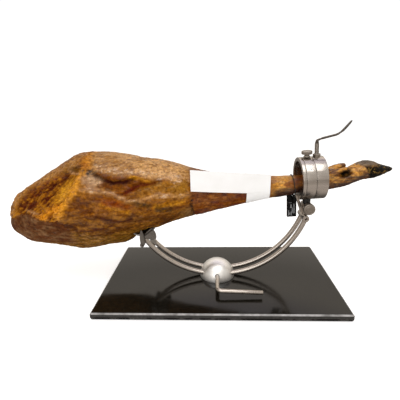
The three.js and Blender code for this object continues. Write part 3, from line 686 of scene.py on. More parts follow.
def ham_zones(places):
    """Where each part of the ham's skin is, as values from 0 to 1."""
    x, y, z = places.T
    sway = np.stack((field(places, (26, 26, 26), 21, 2), field(places, (26, 26, 26), 22, 2)), axis=1)
    xz = places[:, [0, 2]] + sway * (5.0, 3.2) * rise(-x, -60, 20)[:, None]
    front = rise(-y, -12, 14)
    zones = {"front": front}
    inside_rim = -left_of(xz, RIM)
    over_patch = left_of(xz, PATCH_TOP)
    below_skin = -left_of(xz, SKIN_EDGE)
    zones["cut"] = (front * rise(inside_rim, -2, 8) * rise(over_patch, -2, 3)
                    * rise(below_skin, -3, 6))
    zones["left_edge"] = rise(-x, 398, 412) * rise(z, 160, 170)
    zones["patch"] = front * rise(-over_patch, -1, 4) * rise(-x, 276, 300) * rise(z, 108, 126)
    for name, path, reach in ZONE_PATHS:
        zones[name] = np.maximum(zones.get(name, 0), near(xz, path, reach) * front)
    zones["shank"] = rise(x, -60, -46)
    zones["hock"] = rise(x, 96, 120)
    zones["foot"] = rise(x, 205, 225)
    hoof_edge = 284 + 0.35 * (258 - z)
    ragged = 5.5 * field(places, (11, 9, 9), 31, 3)
    zones["dust"] = between(x + ragged, 266, 276, 298, 310) * rise(z - 257, 0, 7)
    zones["horn"] = rise(x + ragged, hoof_edge - 2, hoof_edge + 2) * (1 - 0.8 * zones["dust"])
    zones["body"] = 1 - rise(x, -80, -40)
    zones["lobe"] = rise(left_of(xz, LOBE_EDGE), -6, 4) * rise(-inside_rim, 0, 8) * zones["body"]
    return SimpleNamespace(**zones)


def ham_relief(places):
    """Random forms that the skin's shape and its colour share."""
    lean = 0.10
    flow = places @ np.array(((1, 0, -lean), (0, 1, 0), (lean, 0, 1)), float)
    slanted = places @ np.array(((0.80, 0, 0.60), (0, 1, 0), (-0.60, 0, 0.80))).T
    return SimpleNamespace(
        streaks=field(flow, (38, 15, 12), 1, 4, ridged=True),
        lumps=field(places, (34, 26, 26), 2, 2),
        small=field(flow, (12, 8, 6.5), 3, 3),
        crags=field(slanted, (40, 12, 8), 4, 4, ridged=True),
        rows=field(places, (50, 9, 8), 5, 3, ridged=True),
    )


def roughen_ham(obj):
    """Wrinkles, streaks and lumps, moved along the normals."""
    places, normals = mesh_arrays(obj.data)
    at = ham_zones(places)
    relief = ham_relief(places)
    small, lumps, crags = relief.small, relief.lumps, relief.crags
    depth = at.body * (0.8 * relief.streaks + 1.0 * lumps + 0.65 * small) * (1 - 0.75 * at.patch)
    depth *= 1 - 0.35 * at.lobe
    depth += at.cut * (2.2 * crags - 0.5)
    depth += at.lobe * 0.5 * field(places, (6, 5, 5), 8, 2)
    depth += at.shank * (1 - at.horn) * (0.32 * relief.rows + 0.35 * small + 0.5 * lumps)
    depth += -3.4 * at.fold - 2.4 * at.fold_low + 1.6 * at.ridge * (0.8 + 0.9 * small)
    depth += 2.0 * at.rim * (0.8 + 0.5 * small) - 1.2 * at.rim_side
    depth += -2.6 * at.crack * (0.8 + small) - 3.2 * at.pit * (0.7 + small)
    depth += -3.0 * at.hollow * (0.9 + 0.5 * small) - 1.4 * at.crease
    depth += 1.2 * at.sliver - 2.0 * at.dark_cut * (0.7 + 0.5 * crags) - 1.2 * at.red_cut
    depth += 1.2 * at.cut * field(places, (9, 6, 5), 9, 2)
    depth += at.foot * (1 - at.horn) * 0.5 * field(places, (12, 5, 5), 6, 2, ridged=True)
    depth += at.horn * (0.55 * field(places, (5, 9, 3.5), 7, 2, ridged=True) - 0.2)
    xz = places[:, [0, 2]]
    depth += 3.0 * near(xz, END_CORNER, 14) - 3.4 * near(xz, END_TOP, 15)
    label_zone = between(places[:, 0], 40, 54, 104, 116)
    held = between(places[:, 0], 150, 160, 206, 214)
    depth *= 1 - 0.85 * np.maximum(label_zone, held)
    new_places = (places + normals * depth[:, None]) * MM
    obj.data.vertices.foreach_set("co", new_places.ravel())
    obj.data.update()
    relief.depth = depth
    return relief


def seen(red, green, blue):
    """The base colour that looks like this 0 to 255 screen colour in the studio's light."""
    base = []
    for value, darkest in zip((red, green, blue), DARKEST):
        share = value / 255
        linear = share / 12.92 if share <= 0.04045 else ((share + 0.055) / 1.055) ** 2.4
        base.append(max(darkest, (linear - LIGHT_VEIL) / LIGHT_ON_HAM))
    return base


def blend(tone, amount, colour):
    """The colours moved by the amount from 0 to 1 towards a screen colour."""
    return tone + (np.array(seen(*colour)) - tone) * np.clip(amount, 0, 1)[:, None]


def stain(tone, *layers):
    """The tone under layers of screen colours, each as amount from 0 to 1, red, green, blue. Some layers are
    painted shade and painted highlights.
    """
    for amount, *colour in layers:
        tone = blend(tone, amount, colour)
    return tone


def tone_body(places, at, relief):
    """Long streaks of fat, skin and dried meat over the whole body."""
    x, y, z = places.T
    wide = field(places, (60, 40, 30), 11, 2)
    mid = field(places, (30, 13, 10.5), 12, 4)
    fine = field(places, (13, 6, 5), 13, 3)
    streaks, small = relief.streaks, relief.small
    tone = np.tile(np.array(seen(126, 74, 24)), (len(places), 1))
    low = rise(196 - z + 8 * wide, 0, 26) * at.body
    olive = rise(152 - z + 14 * mid, 0, 18) * at.body
    shoulder = rise(x, -96, -66) * at.body
    golden = between(x, -165, -130, -66, -50) * between(z, 214, 226, 238, 250)
    blots = field(places, (8, 6, 6), 15, 3) * at.body
    lobe = at.lobe
    grains = field(places, (4.5, 4, 4), 14, 2)
    # Painted highlight: whitish highlight specks on the glossy band below the lobe.
    painted_glints = at.lobe_specks * rise(grains + 0.5 * fine, 0.3, 0.7)
    tone = stain(
        tone,
        (rise(mid, -0.05, 0.45) * 0.65, 158, 100, 34),
        (rise(-mid, 0.0, 0.5) * 0.65, 98, 52, 12),
        (rise(streaks, 0.4, 1.1) * 0.35, 160, 108, 48),
        (rise(-streaks, 0.1, 0.9) * 0.45, 92, 48, 8),
        (low * 0.75, 122, 80, 38),
        (low * rise(-mid, -0.1, 0.35) * 0.8, 86, 52, 28),
        (low * rise(mid, 0.12, 0.5) * 0.8, 146, 98, 38),
        (olive * 0.65, 126, 90, 34),
        (olive * rise(fine, 0.1, 0.5) * 0.7, 150, 106, 50),
        (olive * rise(-fine, 0.1, 0.5) * 0.6, 78, 54, 8),
        (shoulder * rise(z, 205, 222) * 0.7, 178, 128, 54),
        (golden * (0.55 + 0.5 * fine), 160, 112, 38),
        (rise(blots, 0.2, 0.6) * 0.35, 166, 112, 44),
        (rise(-blots, 0.2, 0.6) * 0.40, 94, 52, 14),
        (lobe * 0.95, 176, 126, 62),
        (lobe * rise(-wide - 0.4 * mid, -0.05, 0.5) * 0.7, 158, 108, 44),
        (lobe * rise(x + 60 * wide, -190, -150) * 0.85, 216, 164, 100),
        (lobe * rise(mid + 0.5 * fine, 0.2, 0.6) * 0.6, 206, 158, 104),
        (lobe * rise(-fine, 0.15, 0.55) * 0.5, 136, 86, 40),
        (lobe * rise(grains, 0.15, 0.6) * 0.45, 208, 160, 96),
        (lobe * rise(-grains, 0.15, 0.6) * 0.45, 142, 94, 44),
        # Painted highlight: the whitish specks on the glossy band below the lobe.
        (painted_glints * 0.7, 232, 206, 180),
        (lobe * rise(-small, 0.55, 0.9) * rise(x, -200, -100) * 0.6, 92, 78, 62),
    )
    return tone, mid, fine


def tone_cut(tone, at, relief, mid, fine):
    """The craggy end where the leg was cut from the body, with painted shade in its hollows and beside its
    gold rim, and the smooth patch below.
    """
    crags, cut_end = relief.crags, at.cut
    return stain(
        tone,
        (cut_end, 132, 76, 22),
        (cut_end * rise(crags + 0.6 * mid, 0.2, 1.0) * 0.8, 176, 116, 36),
        (cut_end * rise(-crags - 0.6 * mid, -0.3, 0.5) * 0.9, 96, 46, 8),
        (cut_end * rise(fine, 0.25, 0.6) * 0.45, 190, 134, 62),
        (at.red_cut * (0.75 + 0.9 * fine), 106, 52, 14),
        # The cut's dark meat: partly its own colour, partly painted shade in its hollows.
        (at.dark_cut * (0.75 + 1.1 * fine - 0.3 * crags), 84, 38, 6),
        (at.olive_patch * (1.2 + 0.5 * fine), 90, 58, 6),
        (at.gold_patch * (0.95 + 0.6 * fine), 212, 150, 44),
        (at.orange_band * (0.95 + 0.7 * fine), 222, 142, 36),
        (at.left_edge * 0.92, 182, 122, 42),
        (at.skin_edge * (0.85 + 0.4 * mid), 182, 130, 68),
        (at.skin_edge * rise(-fine, 0.1, 0.5) * 0.7, 116, 72, 28),
        (at.rim * (0.95 + 0.35 * fine), 212, 144, 46),
        (at.rim_top * (0.7 + 0.8 * fine), 186, 116, 44),
        # Painted shade on the shaded side of the gold rim.
        (at.dark_side * (0.55 + 0.6 * fine), 92, 52, 18),
        (at.sliver * (0.7 + 0.6 * fine), 182, 136, 92),
        (at.patch * 0.95, 100, 66, 42),
        (at.patch * rise(mid, 0.0, 0.4) * 0.7, 122, 90, 62),
        (at.patch * rise(-mid - 0.3 * fine, 0.0, 0.4) * 0.8, 88, 50, 30),
        (at.patch_edge * 0.75, 84, 46, 12),
    )


def tone_folds(tone, at, mid, fine):
    """Folds, the area under the lobe, the pit and the crease darkened with painted shade, the glossy ridge
    with a painted highlight, stains and bright streaks on the body's front.
    """
    return stain(
        tone,
        # Painted shade: darker under the lobe and in the two folds, where shade falls.
        (at.under_lobe * (0.7 + 0.5 * fine), 118, 66, 16),
        (at.fold * (1.1 + 0.4 * fine), 58, 26, 4),
        (at.fold_low * (1.0 + 0.5 * fine), 96, 38, 6),
        # The ridge's orange band is partly the skin's own colour; its pale peaks are a painted highlight.
        (at.ridge ** 0.2 * 0.45, 172, 116, 44),
        (at.ridge * (0.62 + 1.0 * fine), 192, 138, 70),
        (at.ridge * rise(fine + 0.5 * mid, 0.42, 0.7) * 0.7, 224, 196, 166),
        (at.pale * (0.95 + 0.4 * fine), 206, 166, 122),
        # Painted shade in the pit.
        (at.pit * (0.8 + 1.4 * fine), 58, 40, 12),
        (at.gold * (0.7 + 0.7 * fine), 196, 132, 28),
        (at.red * (0.6 + 0.5 * mid), 128, 62, 14),
        (at.stain * (0.8 + 0.5 * fine), 84, 60, 32),
        (at.dark_streak * (0.9 + 0.6 * fine), 74, 38, 18),
        # Painted shade in the crease.
        (at.crease * 0.8, 76, 42, 14),
    )


def tone_leg(tone, places, normals, at, relief, mid, fine):
    """The shank, the hock inside the ring with painted shade near the ring and on its underside, the foot and
    its grey top.
    """
    x, y, z = places.T
    rows = relief.rows
    red = at.shank * (1 - at.hock)
    knee = between(x, -86, -62, -54, -44) * rise(196 - z, 0, 14)
    orange = at.hock * (1 - at.horn)
    # Masks for painted shade near the ring and on the hock's downward faces.
    near_ring = between(x, 136, 158, 204, 212)
    under = at.hock * rise(-normals[:, 2], -0.4, 0.4)
    foot = at.foot * (1 - at.horn)
    return stain(
        tone,
        (red * 0.95, 120, 66, 24),
        (red * rise(mid + 0.3 * fine, 0.05, 0.5) * 0.8, 152, 94, 36),
        (red * rise(-mid, 0.0, 0.5) * 0.8, 94, 40, 12),
        (knee * 0.8, 122, 90, 52),
        (orange * 0.97, 206, 143, 52),
        (orange * rise(fine + 0.4 * rows, 0.2, 0.7) * 0.8, 212, 158, 76),
        (orange * rise(-mid - 0.3 * fine, 0.0, 0.45) * 0.8, 128, 66, 10),
        # Painted shade near the ring and on the hock's underside.
        (near_ring * 0.8, 92, 46, 12),
        (under * 0.97, 50, 24, 8),
        (foot * rise(-mid - 0.4 * fine, 0.0, 0.4) * 0.7, 96, 60, 24),
        (at.dust * 0.95, 106, 90, 68),
        (at.dust * rise(-fine, 0.0, 0.4) * 0.9, 52, 42, 28),
        # Painted shade in the crack and in the hollow on the foot.
        (at.crack * (0.7 + 1.2 * fine), 44, 22, 6),
        (at.hollow * (1.3 + 0.6 * fine), 14, 8, 3),
    )


def tone_ham(obj, relief):
    """Writes the skin's colour with its painted shade and painted highlights, horn and gloss to the mesh."""
    places, normals = mesh_arrays(obj.data)
    at = ham_zones(places)
    tone, mid, fine = tone_body(places, at, relief)
    tone = tone_cut(tone, at, relief, mid, fine)
    tone = tone_folds(tone, at, mid, fine)
    tone = tone_leg(tone, places, normals, at, relief, mid, fine)
    # Painted shade: the body darkens where its relief is pushed in.
    tone = blend(tone, rise(-relief.depth, 1.2, 3.4) * at.body * 0.5, (66, 32, 6))
    colours = obj.data.color_attributes.new(name="tone", type="FLOAT_COLOR", domain="POINT")
    rgba = np.ones((len(places), 4))
    rgba[:, :3] = np.clip(tone, DARKEST, 1)
    colours.data.foreach_set("color", rgba.ravel())
    gloss = (0.10 + 0.75 * at.ridge + 0.60 * at.lobe_specks + 0.5 * at.pale
             + 0.25 * at.hock + 0.20 * at.shank - 0.3 * at.dark_cut - 0.2 * at.patch
             - 0.4 * at.fold - 0.4 * at.fold_low - 0.9 * at.hollow
             + 0.30 * fine + 0.15 * at.lobe) * (1 - 0.9 * at.horn)
    for name, values in (("horn", at.horn), ("wet", gloss)):
        attribute = obj.data.attributes.new(name=name, type="FLOAT", domain="POINT")
        attribute.data.foreach_set("value", np.clip(values, 0, 1))


def build_ham():
    obj = ham_base()
    relief = roughen_ham(obj)
    tone_ham(obj, relief)
    obj.data.shade_smooth()
    finish_piece(obj, cured_meat(), "arc", "cured_meat", "ham")
    return obj


# Base and hub
def build_slab(material):
    length, depth, height = (side / 2 for side in SLAB)
    corners = [(x, y, z) for x in (-length, length) for y in (-depth, depth) for z in (0, 2 * height)]
    faces = [(0, 1, 3, 2), (4, 6, 7, 5), (0, 4, 5, 1), (2, 3, 7, 6), (0, 2, 6, 4), (1, 5, 7, 3)]
    obj = mesh_object("slab_stone", corners, faces)
    bevel(obj, SLAB_CHAMFER, 1)
    baked(obj)
    bevel(obj, 0.35, 2)
    baked(obj)
    finish_piece(obj, material, "base", "granite", "base_slab", edge=20)


def arc_point(angle, y):
    return (ARC_CENTRE[0] + ARC_RADIUS * math.sin(angle), y, ARC_CENTRE[1] - ARC_RADIUS * math.cos(angle))


def arc_bar(name, y, start, end, radius, steps=90, sides=32):
    angles = [math.radians(start + (end - start) * i / steps) for i in range(steps + 1)]
    return tube(name, [arc_point(a, y) for a in angles], radius, sides)


def build_hub(material):
    steps = 36
    profile = [(0, 0), (HUB_RADIUS - 1.2, 0), (HUB_RADIUS - 0.3, 0.3)]
    profile += [(HUB_RADIUS * math.cos(a), HUB_RADIUS * math.sin(a))
                for a in (math.radians(2 + 88 * i / steps) for i in range(steps))]
    profile.append((0, HUB_RADIUS))
    obj = lathe("hub_ball", profile, 96)
    obj.data.transform(moved(*HUB))
    for y in (-ROD_Y, ROD_Y):
        cut(obj, arc_bar("channel", y, -15, 15, ROD_RADIUS + 0.6, 16, 28))
    hole = [(HUB[0], y, LEVER_Z) for y in (-45, -16)]
    cut(obj, tube("hole", hole, LEVER_RADIUS + 0.6, 28, Vector((1, 0, 0))))
    finish_piece(obj, material, "base", "polished_steel", "hub_dome", edge=30)


def build_lever(material):
    """A bar that comes out of the hub, turns to the right and drops a little towards its end."""
    bend = 9.0
    fall = LEVER_END_DROP / (LEVER_END_X - HUB[0])
    points = [(HUB[0], -19.9, LEVER_Z), (HUB[0], -20.6, LEVER_Z), (HUB[0], -50, LEVER_Z)]
    centre = Vector((HUB[0] + bend, LEVER_LEG_Y + bend))
    for i in range(13):
        angle = math.pi / 2 * i / 12
        x = centre.x - bend * math.cos(angle)
        points.append((x, centre.y - bend * math.sin(angle), LEVER_Z - fall * (x - HUB[0])))
    for x in (40, LEVER_END_X - 0.8, LEVER_END_X):
        points.append((x, LEVER_LEG_Y, LEVER_Z - fall * (x - HUB[0])))
    radii = [LEVER_RADIUS - 0.6] + [LEVER_RADIUS] * (len(points) - 2) + [LEVER_RADIUS - 0.7]
    obj = tube("lever_bar", points, radii, 32, Vector((0, 0, 1)))
    finish_piece(obj, material, "lever", "steel", "hub_lever", edge=50)


def build_rods(material):
    for name, y, node in (("rod_bar_front", -ROD_Y, "rod_front"), ("rod_bar_rear", ROD_Y, "rod_rear")):
        obj = arc_bar(name, y, ROD_ANGLES[0], ROD_ANGLES[1] - 0.9, ROD_RADIUS)
        finish_piece(obj, material, "arc", "steel", node, edge=50)


# Ring, its screws and knobs
def build_ring(material, mirror):
    """The clamp ring's three bands, and the grub screw sunk into the fixed one."""
    bands = (
        ("ring_left_band", "ring_flange", 0.7, (
            (RING_INNER, -20), (RING_INNER, -23.5), (RING_OUTER, -23.5), (RING_OUTER, -17.2),
            (RING_INNER, -17.2), (RING_INNER, -20))),
        ("ring_fixed_band", "ring_collar", 0.5, (
            (COLLAR_INNER, -8), (COLLAR_INNER, -16.7), (RING_OUTER, -16.7), (RING_OUTER, 1.3),
            (COLLAR_INNER, 1.3), (COLLAR_INNER, -8))),
        ("ring_turning_band", "ring_body", 0.7, (
            (RING_INNER, 0), (RING_INNER, -16.9), (SLEEVE_OUTER, -16.9), (SLEEVE_OUTER, 1.8),
            (RING_OUTER, 1.8), (RING_OUTER, 23.5), (RING_INNER, 23.5), (RING_INNER, 0))),
    )
    for name, node, edge, profile in bands:
        obj = lathe(name, rounded(profile, edge), 144)
        obj.data.transform(ring_matrix() @ Matrix.Rotation(math.pi / 2, 4, "Y"))
        if node == "ring_collar":
            pocket = tube("pocket", [(0, 0, 41), (0, 0, 46)], 3.3, 32)
            set_into_collar(pocket)
            cut(obj, pocket)
        finish_piece(obj, material, "arc", "steel", node, edge=35)
    profile = rounded([(0, 40.6), (1.5, 40.6), (1.5, 42.2), (3.0, 42.2), (3.0, 39.6), (0, 39.6)], 0.25)
    grub = lathe("grub_screw", profile, 36)
    set_into_collar(grub)
    finish_piece(grub, mirror, "arc", "polished_steel", "ring_set_screw", edge=35)


def set_into_collar(obj):
    """Turns a piece drawn about Z to point out of the collar's front, 35 degrees above level."""
    tilt = Matrix.Rotation(math.radians(55), 4, "X")
    obj.data.transform(on_ring(LOCK_KNOB_X) @ tilt)


def knurled(angle, row, first, last, teeth):
    if not first <= row <= last:
        return 1.0
    return 1.0 + 0.022 * math.sin(teeth * angle)


def build_turned(name, profile, sides, place, material, body, slot, node, wobble=None):
    """A piece turned about Z and put in its place."""
    obj = lathe(name, profile, sides, wobble)
    obj.data.transform(place)
    finish_piece(obj, material, body, slot, node, edge=40)


def build_lock_knob(material):
    profile = [
        (0, 39.3), (3, 39.3), (3, 43.2), (6.4, 43.2), (6.2, 43.8), (4.7, 46.0), (4.3, 47.7), (5.0, 48.0),
        (9.0, 48.1), (9.9, 48.8), (10.0, 49.6), (10.0, 53.4), (9.8, 54.2), (8.9, 54.9), (8.0, 54.7),
        (4.0, 54.5), (0, 54.5),
    ]
    build_turned("lock_knob", profile, 240, on_ring(LOCK_KNOB_X), material, "ring_knob", "steel",
                 "ring_lock_knob", lambda a, row: knurled(a, row, 9, 12, 40))


def build_side_knob(material):
    profile = [
        (0, 8), (2.9, 8), (2.9, 19), (6.5, 19.4), (10.3, 19.5), (11.2, 20.2), (11.4, 21.0), (11.4, 28.2),
        (11.1, 29.0), (10.3, 29.5), (9.4, 29.1), (6.5, 29.1), (6.2, 29.4), (3.2, 29.4), (3.0, 29.1),
        (0, 29.1),
    ]
    place = moved(180, 0, 177) @ Matrix.Rotation(math.pi / 2, 4, "X")
    build_turned("side_knob", profile, 240, place, material, "side_knob", "steel", "pivot_knob",
                 lambda a, row: knurled(a, row, 5, 8, 44))


def threaded_shank(name, low, high, radius, pitch):
    """A bar about Z with a screw thread cut in it."""
    segments = 36
    rows = int((high - low) / pitch * 8)
    vertices = []
    for r in range(rows + 1):
        height = low + (high - low) * r / rows
        fade = min(1.0, (height - low) / 1.5, (high - height) / 1.5)
        for s in range(segments):
            turn = s / segments
            phase = (height / pitch - turn) % 1.0
            tooth = abs(2 * phase - 1)
            size = radius - (0.62 * tooth) * max(fade, 0) - 0.55 * (1 - max(fade, 0))
            angle = turn * TURN
            vertices.append((size * math.cos(angle), size * math.sin(angle), height))
    return mesh_object(name, vertices, ring_faces(rows + 1, segments) + end_faces(rows + 1, segments))


def build_clamp_screw(material, worn):
    shank = threaded_shank("clamp_shank", 9.3, 68.0, 4.25, 1.5)
    shank.data.transform(on_ring(CLAMP_SCREW_X))
    stops = [(11.8, 67.5, 3.5, 1.0), (11.9, 70.2, 3.3, 1.0), (12.6, 73.4, 2.5, 0.9), (19.7, 76.0, 2.2, 0.8),
             (23, 76.8, 2.9, 0.74), (38, 79.6, 2.9, 0.70), (48.5, 81.7, 3.0, 0.70), (55, 85.0, 2.5, 0.66),
             (60.2, 88.9, 2.9, 0.74), (68, 97, 2.9, 0.70), (73.6, 103.5, 2.4, 0.7), (75.6, 105.8, 0.9, 0.8)]
    line = curve([(x, 0, z) for x, z, _, _ in stops], 6)
    radii = [v.x for v in curve([(w, 0, 0) for _, _, w, _ in stops], 6)]
    flat = [v.x for v in curve([(t, 0, 0) for _, _, _, t in stops], 6)]
    handle = tube("clamp_handle", line, radii, 24, Vector((0, 1, 0)), flat)
    handle.data.transform(ring_matrix())
    for obj, metal in ((shank, material), (handle, worn)):
        finish_piece(obj, metal, "ring_screw", "steel", "clamp_screw", edge=60)


def build_nut(material):
    profile = rounded([(4.7, 41.8), (7.6, 41.8), (7.6, 47.2), (6.6, 47.9), (4.7, 47.9), (4.7, 41.8)], 0.4, 2)
    obj = lathe("screw_nut_hex", profile, 6)
    obj.data.transform(on_ring(CLAMP_SCREW_X))
    bevel(obj, 0.4, 3, 25)
    baked(obj)
    finish_piece(obj, material, "arc", "steel", "screw_nut", edge=30)


def build_bush(material):
    profile = rounded([(0, 183.4), (7.9, 183.4), (7.9, 192.6), (0, 192.6)], 0.8)
    build_turned("swivel_bush_body", profile, 64, moved(181, 0, 0), material, "arc", "black_plastic",
                 "swivel_bush")


def build_end_bar(material):
    profile = rounded([(0, -13), (2.6, -13), (2.6, -22), (6.5, -22), (6.5, 22), (0, 22)], 0.7)
    place = moved(177, 0, 154.4) @ Matrix.Rotation(-math.pi / 2, 4, "X")
    build_turned("end_bar_round", profile, 64, place, material, "arc", "steel", "end_bar")


def keep_node(name, material, width):
    """A CAD node that stays, with eased edges and its own material."""
    obj = nodes[name]
    bevel(obj, width, 3)
    paint(obj, material)


# Cradle
CRADLE_LINE = ((-178, 132), (-171, 127.5), (-160, 126.5), (-151, 128), (-144, 133), (-135, 140.5))


def build_saddle(material):
    """The bent plate that the ham lies on."""
    line = curve([(x, 0, z) for x, z in CRADLE_LINE], 5)
    rows = 28
    half = 33.0
    vertices = []
    for r in range(rows + 1):
        y = -half + 2 * half * r / rows
        drop = 12 * (1 - (y / half) ** 2)
        vertices += [(p.x, y, p.z - drop) for p in line]
    obj = mesh_object("cradle_plate", vertices, sheet_faces(rows + 1, len(line)))
    thick = obj.modifiers.new("thick", "SOLIDIFY")
    thick.thickness = 2.8 * MM
    thick.offset = 1
    face_outwards(baked(obj))
    bevel(obj, 0.6, 3)
    baked(obj)
    finish_piece(obj, material, "arc", "steel", "cradle_saddle", edge=40)


def build_wings(material):
    """The cradle's front and rear wings, each with its strap."""
    wing = [(-151, 125.5), (-144, 130.5), (-136.5, 136.8), (-131, 137.6), (-127.4, 129), (-127.6, 119.8),
            (-133, 117.6), (-140, 117.6), (-150, 120.6)]
    leaf = [(-156.8, 139.8), (-153.6, 133.2), (-151.7, 122), (-151.2, 112), (-153, 105.8), (-156, 103.8),
            (-158.9, 106), (-160.7, 113), (-161.1, 125), (-159.9, 133.2)]
    for name, y, node in (("wing_front", -36.3, "cradle_front_wing"),
                          ("wing_rear", 33.3, "cradle_rear_wing")):
        finish_piece(plate(name, curve(wing, 4, True), y, 3.0, 0.6), material, "arc", "steel", node)
    for name, y, side, node in (("leaf_front", -39.9, -1, "cradle_front_strap"),
                                ("leaf_rear", 36.7, 1, "cradle_rear_strap")):
        finish_piece(domed_leaf(name, curve(leaf, 4, True), y, side), material, "arc", "steel", node)


def domed_leaf(name, outline, y, side):
    """A thin leaf-shaped strap whose outer face is crowned along its middle."""
    thickness = 3.4
    centre = sum((Vector(p) for p in outline), Vector((0, 0))) / len(outline)
    rings = (1.0, 0.94, 0.7, 0.4)
    count = len(outline)
    outer_y = y if side < 0 else y + thickness
    inner_y = y + thickness if side < 0 else y
    vertices = [(x, inner_y, z) for x, z in outline]
    for scale in rings:
        crown = 1.5 * scale ** 2
        for x, z in outline:
            px = centre.x + (x - centre.x) * scale
            pz = centre.y + (z - centre.y) * (0.15 + 0.85 * scale if scale < 1 else 1)
            vertices.append((px, outer_y - side * crown, pz))
    loops = len(rings) + 1
    obj = solid_object(name, vertices, ring_faces(loops, count) + end_faces(loops, count))
    bevel(obj, 0.5, 3)
    return smooth_by_angle(baked(obj), 40)


# Label and tag
def shank_radius(tree, x, centre_z, angle):
    """Distance from the shank's middle line to its skin, in millimetres."""
    middle = Vector((x, 0, centre_z)) * MM
    out = Vector((0, -math.cos(angle), math.sin(angle)))
    hit = tree.ray_cast(middle + out * 0.2, -out)[0]
    return (hit - middle).length / MM


def build_label(ham, material):
    """A band round the shank, and the same card's long flat front that runs on to the left as a free flag."""
    tree = BVHTree.FromObject(ham, bpy.context.evaluated_depsgraph_get())
    left, right = LABEL_SPAN
    around = 96
    rows = 14
    vertices = []
    fronts = []
    for r in range(rows + 1):
        x = left + (right - left) * r / rows
        centre_z = 214.5 + (x - 50) * SHANK_SLOPE
        radii = np.array([shank_radius(tree, x, centre_z, s / around * TURN) for s in range(around)])
        for _ in range(8):
            radii = np.maximum(radii, (np.roll(radii, 1) + radii + np.roll(radii, -1)) / 3)
        for s in range(around):
            angle = s / around * TURN
            radius = radii[s] + CARD_GAP
            vertices.append((x, -radius * math.cos(angle), centre_z + radius * math.sin(angle)))
        fronts.append(-radii[0] - CARD_GAP)
    band = mesh_object("label_band", vertices, ring_faces(rows + 1, around))
    flag = label_flag(fronts)
    for obj in (band, flag):
        thick = obj.modifiers.new("thick", "SOLIDIFY")
        thick.thickness = CARD_THICK * MM
        thick.offset = 0
        baked(obj)
        finish_piece(obj, material, "arc", "white_card", "label", edge=50)


def label_flag(fronts):
    """The card's flat front: free and a little bowed on the left, lying on the band's front on the right."""
    columns = 60
    rows = 12
    left, right = LABEL_SPAN
    stations = np.linspace(left, right, len(fronts))
    vertices = []
    for c in range(columns + 1):
        t = c / columns
        place = FLAG_START.lerp(FLAG_END, t)
        free = max(0.0, (left - place.x) / (left - FLAG_START.x))
        y = place.y - FLAG_BOW * math.sin(math.pi * free)
        if place.x >= left:
            y = min(y, float(np.interp(place.x, stations, fronts)) - 0.08)
        low = FLAG_LOW - FLAG_LOW_DROP * (1 - free) + max(0.0, place.x - left) * SHANK_SLOPE
        high = FLAG_HIGH + FLAG_HIGH_SLOPE * (place.x - FLAG_START.x)
        for r in range(rows + 1):
            v = r / rows
            curl = FLAG_CURL * (2 * v - 1) ** 2 * free
            vertices.append((place.x, y + curl, low + (high - low) * v))
    return mesh_object("label_flag", vertices, sheet_faces(columns + 1, rows + 1))


def tag_outline():
    """The card's outline with round corners, its top edge at zero."""
    width, height = TAG_SIZE
    corner = 2.0
    outline = []
    for cx, cz, start in ((1, 1, 0), (-1, 1, 90), (-1, -1, 180), (1, -1, 270)):
        for i in range(6):
            angle = math.radians(start + 18 * i)
            outline.append((cx * (width / 2 - corner) + corner * math.cos(angle),
                            -height / 2 + cz * (height / 2 - corner) + corner * math.sin(angle)))
    return outline


def build_tag(card, ink):
    """A card that hangs by its punched hole, with plain pale bars printed on it."""
    obj = plate("tag_card", tag_outline(), TAG_FRONT, TAG_THICK, 0.15)
    hole_x, hole_z = TAG_HOLE
    cut(obj, tube("hole", [(hole_x, 0, hole_z), (hole_x, 12, hole_z)], 1.1, 24, Vector((1, 0, 0))))
    vertices = []
    faces = []
    for x0, z0, x1, z1 in TAG_BARS:
        base = len(vertices)
        vertices += [(x, TAG_FRONT - 0.06, z) for x, z in ((x0, z0), (x1, z0), (x1, z1), (x0, z1))]
        faces.append((base, base + 1, base + 2, base + 3))
    printed = mesh_object("tag_print", vertices, faces, False)
    hang = moved(TAG_TOP[0], 0, TAG_TOP[1]) @ Matrix.Rotation(-TAG_TILT, 4, "Y")
    for piece in (obj, printed):
        piece.data.transform(hang)
    finish_piece(obj, card, "arc", "black_card", "tag")
    finish_piece(printed, ink, "arc", "black_card")


def build_cord(cord):
    """The loop of cord round the shank that the tag hangs on."""
    steps = 72
    points = []
    for i in range(steps):
        angle = i / steps * TURN
        y, h = CORD_HALF[0] * math.sin(angle), CORD_HALF[1] * math.cos(angle)
        points.append((CORD_MIDDLE[0] - h * math.sin(CORD_LEAN), y, CORD_MIDDLE[1] + h * math.cos(CORD_LEAN)))
    loop = closed_loop("cord_loop", points, CORD_RADIUS, 14)
    finish_piece(loop, cord, "arc", "black_cord", "tag_cord")


def closed_loop(name, points, radius, sides):
    """A round cord through the points of a flat loop."""
    path = [Vector(p) for p in points]
    count = len(path)
    centre = sum(path, Vector()) / count
    vertices = []
    for i, point in enumerate(path):
        tangent = (path[(i + 1) % count] - path[i - 1]).normalized()
        out = (point - centre).normalized()
        side = out.cross(tangent).normalized()
        for s in range(sides):
            angle = s / sides * TURN
            vertices.append(point + out * radius * math.cos(angle) + side * radius * math.sin(angle))
    return solid_object(name, vertices, ring_faces(count, sides, True))


# Room, light and camera
def build_floor():
    """A pale floor that mirrors don't see, so that steel shows the darker room."""
    size = 3000
    floor = mesh_object("floor", [(-size, -size, 0), (size, -size, 0), (size, size, 0), (-size, size, 0)],
                        [(0, 1, 2, 3)], False)
    floor.location.z = -0.3 * MM
    paint(floor, pale_floor())
    floor.visible_glossy = False


